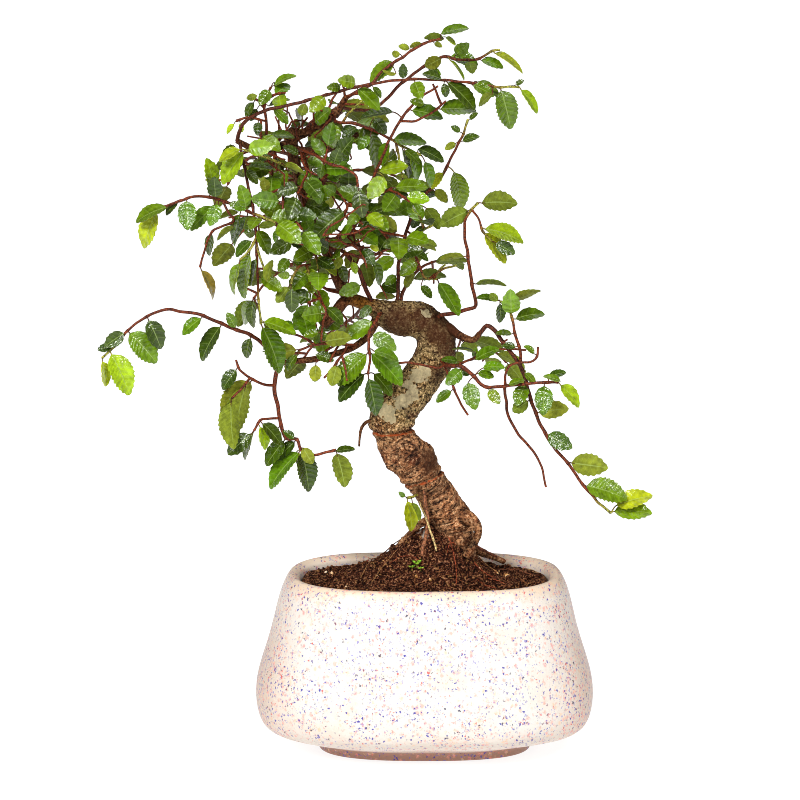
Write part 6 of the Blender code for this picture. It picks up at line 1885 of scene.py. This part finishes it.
def set_stage(scene, look):
    """A wide pale floor, soft light from the upper left, and the camera where the picture was taken."""
    deselect()
    bpy.ops.mesh.primitive_plane_add(size=FLOOR_WIDTH)
    floor = bpy.context.active_object
    floor.name = "paper_floor"
    floor.data.materials.append(paper_floor(look))

    world = bpy.data.worlds.new("pale_room")
    world.use_nodes = True
    tree = world.node_tree
    room = tree.nodes["Background"]
    heading = node(tree, "TexCoord").outputs["Generated"]
    away = node(tree, "SeparateXYZ", {"Vector": heading}).outputs["Y"]
    turn = node(tree, "MapRange", {"Value": away, "From Min": -1.0})
    tones = node(tree, "ValToRGB", {"Fac": turn}, stops=ROOM_TONES)
    tree.links.new(main_output(tones), room.inputs["Color"])
    room.inputs["Strength"].default_value = look.room
    scene.world = world
    add_light("key_light", "SUN", (-0.72, -1.15, 1.15), look.key, angle=math.radians(KEY_WIDTH))
    add_light("glint_light", "SUN", (0.60, -1.0, 1.25), look.glint, angle=math.radians(GLINT_WIDTH))
    add_light("fill_light", "AREA", (1.0, -0.9, 0.55), look.fill, shape="DISK", size=0.9)
    add_light("top_light", "AREA", (0.15, 0.75, 1.3), look.top, shape="DISK", size=0.8)

    tilt = math.radians(EYE_TILT)
    eye = Vector((AIM_X, -EYE_DISTANCE * math.cos(tilt), AIM_Z + EYE_DISTANCE * math.sin(tilt))) * MM
    deselect()
    bpy.ops.object.camera_add(location=eye, rotation=(math.radians(90) - tilt, 0, 0))
    camera = bpy.context.active_object
    camera.data.sensor_width = SENSOR_WIDTH
    camera.data.lens = SENSOR_WIDTH * EYE_DISTANCE / (2 * PICTURE_MIDDLE * PIXEL)
    camera.data.clip_end = SIGHT
    scene.camera = camera
    scene.view_settings.view_transform = "Standard"
    scene.cycles.filter_width = PIXEL_BLEND


def length_setting(name, description, default):
    return bpy.props.FloatProperty(
        name=name, description=description, default=default, min=0.0, unit="LENGTH", precision=5)


def colour_setting(name, description, code):
    return bpy.props.FloatVectorProperty(
        name=name, description=description, default=linear(code)[:3], min=0.0, max=1.0, size=3,
        subtype="COLOR")


def count_setting(name, description, default):
    return bpy.props.IntProperty(name=name, description=description, default=default, min=1)


def strength_setting(name, description, default):
    return bpy.props.FloatProperty(name=name, description=description, default=default, min=0.0)


class PotLook(bpy.types.PropertyGroup):
    """The pot and its glaze."""

    sectors: count_setting("Sectors", "Corners round the pot before it is rounded off", 64)
    unevenness: length_setting("Unevenness", "How far the wall strays from its true form", 0.0003)
    glaze: colour_setting("Glaze", "The cream glaze between the specks", "#dcd7d0")
    # Blush also serves as painted shade towards the foot and towards both ends.
    blush: colour_setting("Blush", "Where the glaze runs thin and the clay warms it", "#dcc7b4")
    rim: colour_setting("Rim", "The beige rim and inside", "#dcc3a8")
    # Ends: painted shade at both ends of the pot.
    ends: colour_setting("Ends", "Where the clay shows most through the glaze", "#a98a72")
    # Foot: bare clay, darkened further as painted shade under the belly.
    foot: colour_setting("Foot", "The bare clay of the foot", "#9a6851")


class SoilLook(bpy.types.PropertyGroup):
    """The soil and what lies on it."""

    sectors: count_setting("Sectors", "Corners round the soil", 300)
    rings: count_setting("Rings", "Rings of corners from the wall to the trunk", 100)
    crumbs: count_setting("Crumbs", "Loose crumbs on the surface", 900)
    fibres: count_setting("Fibres", "Root hairs and peat fibres on the surface", 60)
    pebbles: count_setting("Pebbles", "Mineral grains on the surface", 26)
    straw: colour_setting("Straw", "Pale bits of fibre", "#a97a4a")
    crust: colour_setting("Dry crust", "The dry crust against the wall", "#b98f68")
    bloom: colour_setting("Bloom", "Salts and mould on the surface", "#b9aea0")


class BarkLook(bpy.types.PropertyGroup):
    """The trunk, its roots and its bare limbs."""

    voxel: length_setting("Voxel", "Size of the cells that melt the limbs into one skin", 0.00055)
    wrinkled: length_setting("Wrinkled length", "How far up from its foot the trunk is wrinkled", 0.045)
    pale: colour_setting("Grain", "Pale grains of the bark", "#d0b088")
    # Crack: the bark pattern's cracks, and painted shade in hollows and grooves.
    crack_and_crevice_shade: colour_setting("Crack", "Cracks and hollows", "#1e0a04")
    lichen: colour_setting("Lichen", "Pale lichen", "#bdae88")
    # The colour of the dark patches round the listed places.
    dark_patch: colour_setting("Stain", "Dark damp bark", "#3f200d")
    slim: colour_setting("Slim wood", "The smooth bark of limbs and upper trunk", "#552812")
    amber: colour_setting("Amber", "New bark on a pruned stub", "#b5772a")
    scar: colour_setting("Scar", "The orange bark in ring scars", "#9a4218")


class LeafLook(bpy.types.PropertyGroup):
    """The leaves."""

    thickness: length_setting("Thickness", "How thick a blade is", 0.0003)
    vein: colour_setting("Vein", "Ribs and veins", "#a9bf6a")


class StageLook(bpy.types.PropertyGroup):
    """The floor and the light."""

    paper: colour_setting("Paper", "The floor", "#8c8c8b")
    shine: strength_setting("Paper glow", "How much the paper is lit from behind", 0.86)
    key: strength_setting("Key light", "Strength of the light from the upper left, in W/m2", 2.6)
    glint: strength_setting("Glint light", "Strength of the light from the upper right, in W/m2", 1.5)
    fill: strength_setting("Fill light", "Power of the light from the right, in W", 0.6)
    top: strength_setting("Top light", "Power of the light from behind and above, in W", 1.6)
    room: strength_setting("Room light", "Strength of the light from all sides", 0.5)


class BONSAI_OT_pot(bpy.types.Operator):
    """Models the pot and glazes it"""

    bl_idname = "bonsai.pot"
    bl_label = "Glazed Pot"

    def execute(self, context):
        look = context.scene.bonsai_pot
        settled(model_pot(look), [speckled_glaze(look)], "speckled_glaze", "pot")
        return {"FINISHED"}


class BONSAI_OT_soil(bpy.types.Operator):
    """Models the soil with its crumbs, fibres and pebbles"""

    bl_idname = "bonsai.soil"
    bl_label = "Potting Soil"

    def execute(self, context):
        look = context.scene.bonsai_soil
        earth = potting_soil(look)
        settled(model_soil(look), [earth], "potting_soil", "soil")
        chance = random.Random("ground cover")
        crumbs = scatter_grains("soil_crumbs", look.crumbs, (0.4, 1.3), 1, chance)
        settled(crumbs, [earth], "potting_soil")
        pebbles = scatter_grains("soil_pebbles", look.pebbles, (0.5, 1.1), 2, chance)
        settled(pebbles, [mineral_grain()], "potting_soil")
        settled(scatter_fibres(look.fibres, chance), [elm_twig("root_fibre")], "potting_soil")
        settled(model_seedlings(), [elm_twig("seedling_leaf")], "potting_soil")
        return {"FINISHED"}


class BONSAI_OT_trunk(bpy.types.Operator):
    """Models the trunk, roots and bare limbs, and wrinkles their bark"""

    bl_idname = "bonsai.trunk"
    bl_label = "Trunk"

    def execute(self, context):
        look = context.scene.bonsai_bark
        settled(model_trunk(look), [elm_bark(look)], "elm_bark", "trunk")
        settled(model_aerial_roots(), [elm_twig("root_skin")], "elm_bark")
        return {"FINISHED"}


class BONSAI_OT_shoots(bpy.types.Operator):
    """Lays every stem and leaf, and makes one piece of each shoot"""

    bl_idname = "bonsai.shoots"
    bl_label = "Leafy Shoots"

    def execute(self, context):
        look = context.scene.bonsai_leaf
        plant = Plant()
        plant.lay_stems()
        plant.lay_leaves()
        plant.lay_fine_growth()
        blanks = {count: leaf_blank(count) for count in (FEW_TEETH, SOME_TEETH, TEETH)}
        finish = [elm_leaf(look), elm_twig("elm_twig")]
        for shoot in plant.shoots:
            piece = model_shoot(shoot, blanks, look)
            solids = [shoot["name"]] if shoot["name"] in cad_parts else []
            settled(piece, finish, "elm_foliage", *solids)
        return {"FINISHED"}


class BONSAI_OT_stage(bpy.types.Operator):
    """Sets the paper floor, the light and the camera"""

    bl_idname = "bonsai.stage"
    bl_label = "Stage"

    def execute(self, context):
        set_stage(context.scene, context.scene.bonsai_stage)
        return {"FINISHED"}


class BONSAI_PT_panel(bpy.types.Panel):
    """The bonsai's settings and its makers"""

    bl_label = "Elm Bonsai"
    bl_idname = "BONSAI_PT_panel"
    bl_space_type = "VIEW_3D"
    bl_region_type = "UI"
    bl_category = "Bonsai"

    def draw(self, context):
        for group, look, maker in PANEL_ROWS:
            box = self.layout.box()
            for name in look.__annotations__:
                box.prop(getattr(context.scene, group), name)
            box.operator(maker.bl_idname)


PANEL_ROWS = (
    ("bonsai_pot", PotLook, BONSAI_OT_pot),
    ("bonsai_soil", SoilLook, BONSAI_OT_soil),
    ("bonsai_bark", BarkLook, BONSAI_OT_trunk),
    ("bonsai_leaf", LeafLook, BONSAI_OT_shoots),
    ("bonsai_stage", StageLook, BONSAI_OT_stage),
)


def register():
    for group, look, maker in PANEL_ROWS:
        bpy.utils.register_class(look)
        setattr(bpy.types.Scene, group, bpy.props.PointerProperty(type=look))
        bpy.utils.register_class(maker)
    bpy.utils.register_class(BONSAI_PT_panel)


def unregister():
    bpy.utils.unregister_class(BONSAI_PT_panel)
    for group, look, maker in PANEL_ROWS:
        bpy.utils.unregister_class(maker)
        delattr(bpy.types.Scene, group)
        bpy.utils.unregister_class(look)


def main():
    register()
    bpy.ops.bonsai.pot()
    bpy.ops.bonsai.soil()
    bpy.ops.bonsai.trunk()
    bpy.ops.bonsai.shoots()
    bpy.ops.bonsai.stage()


if __name__ == "__main__":
    main()
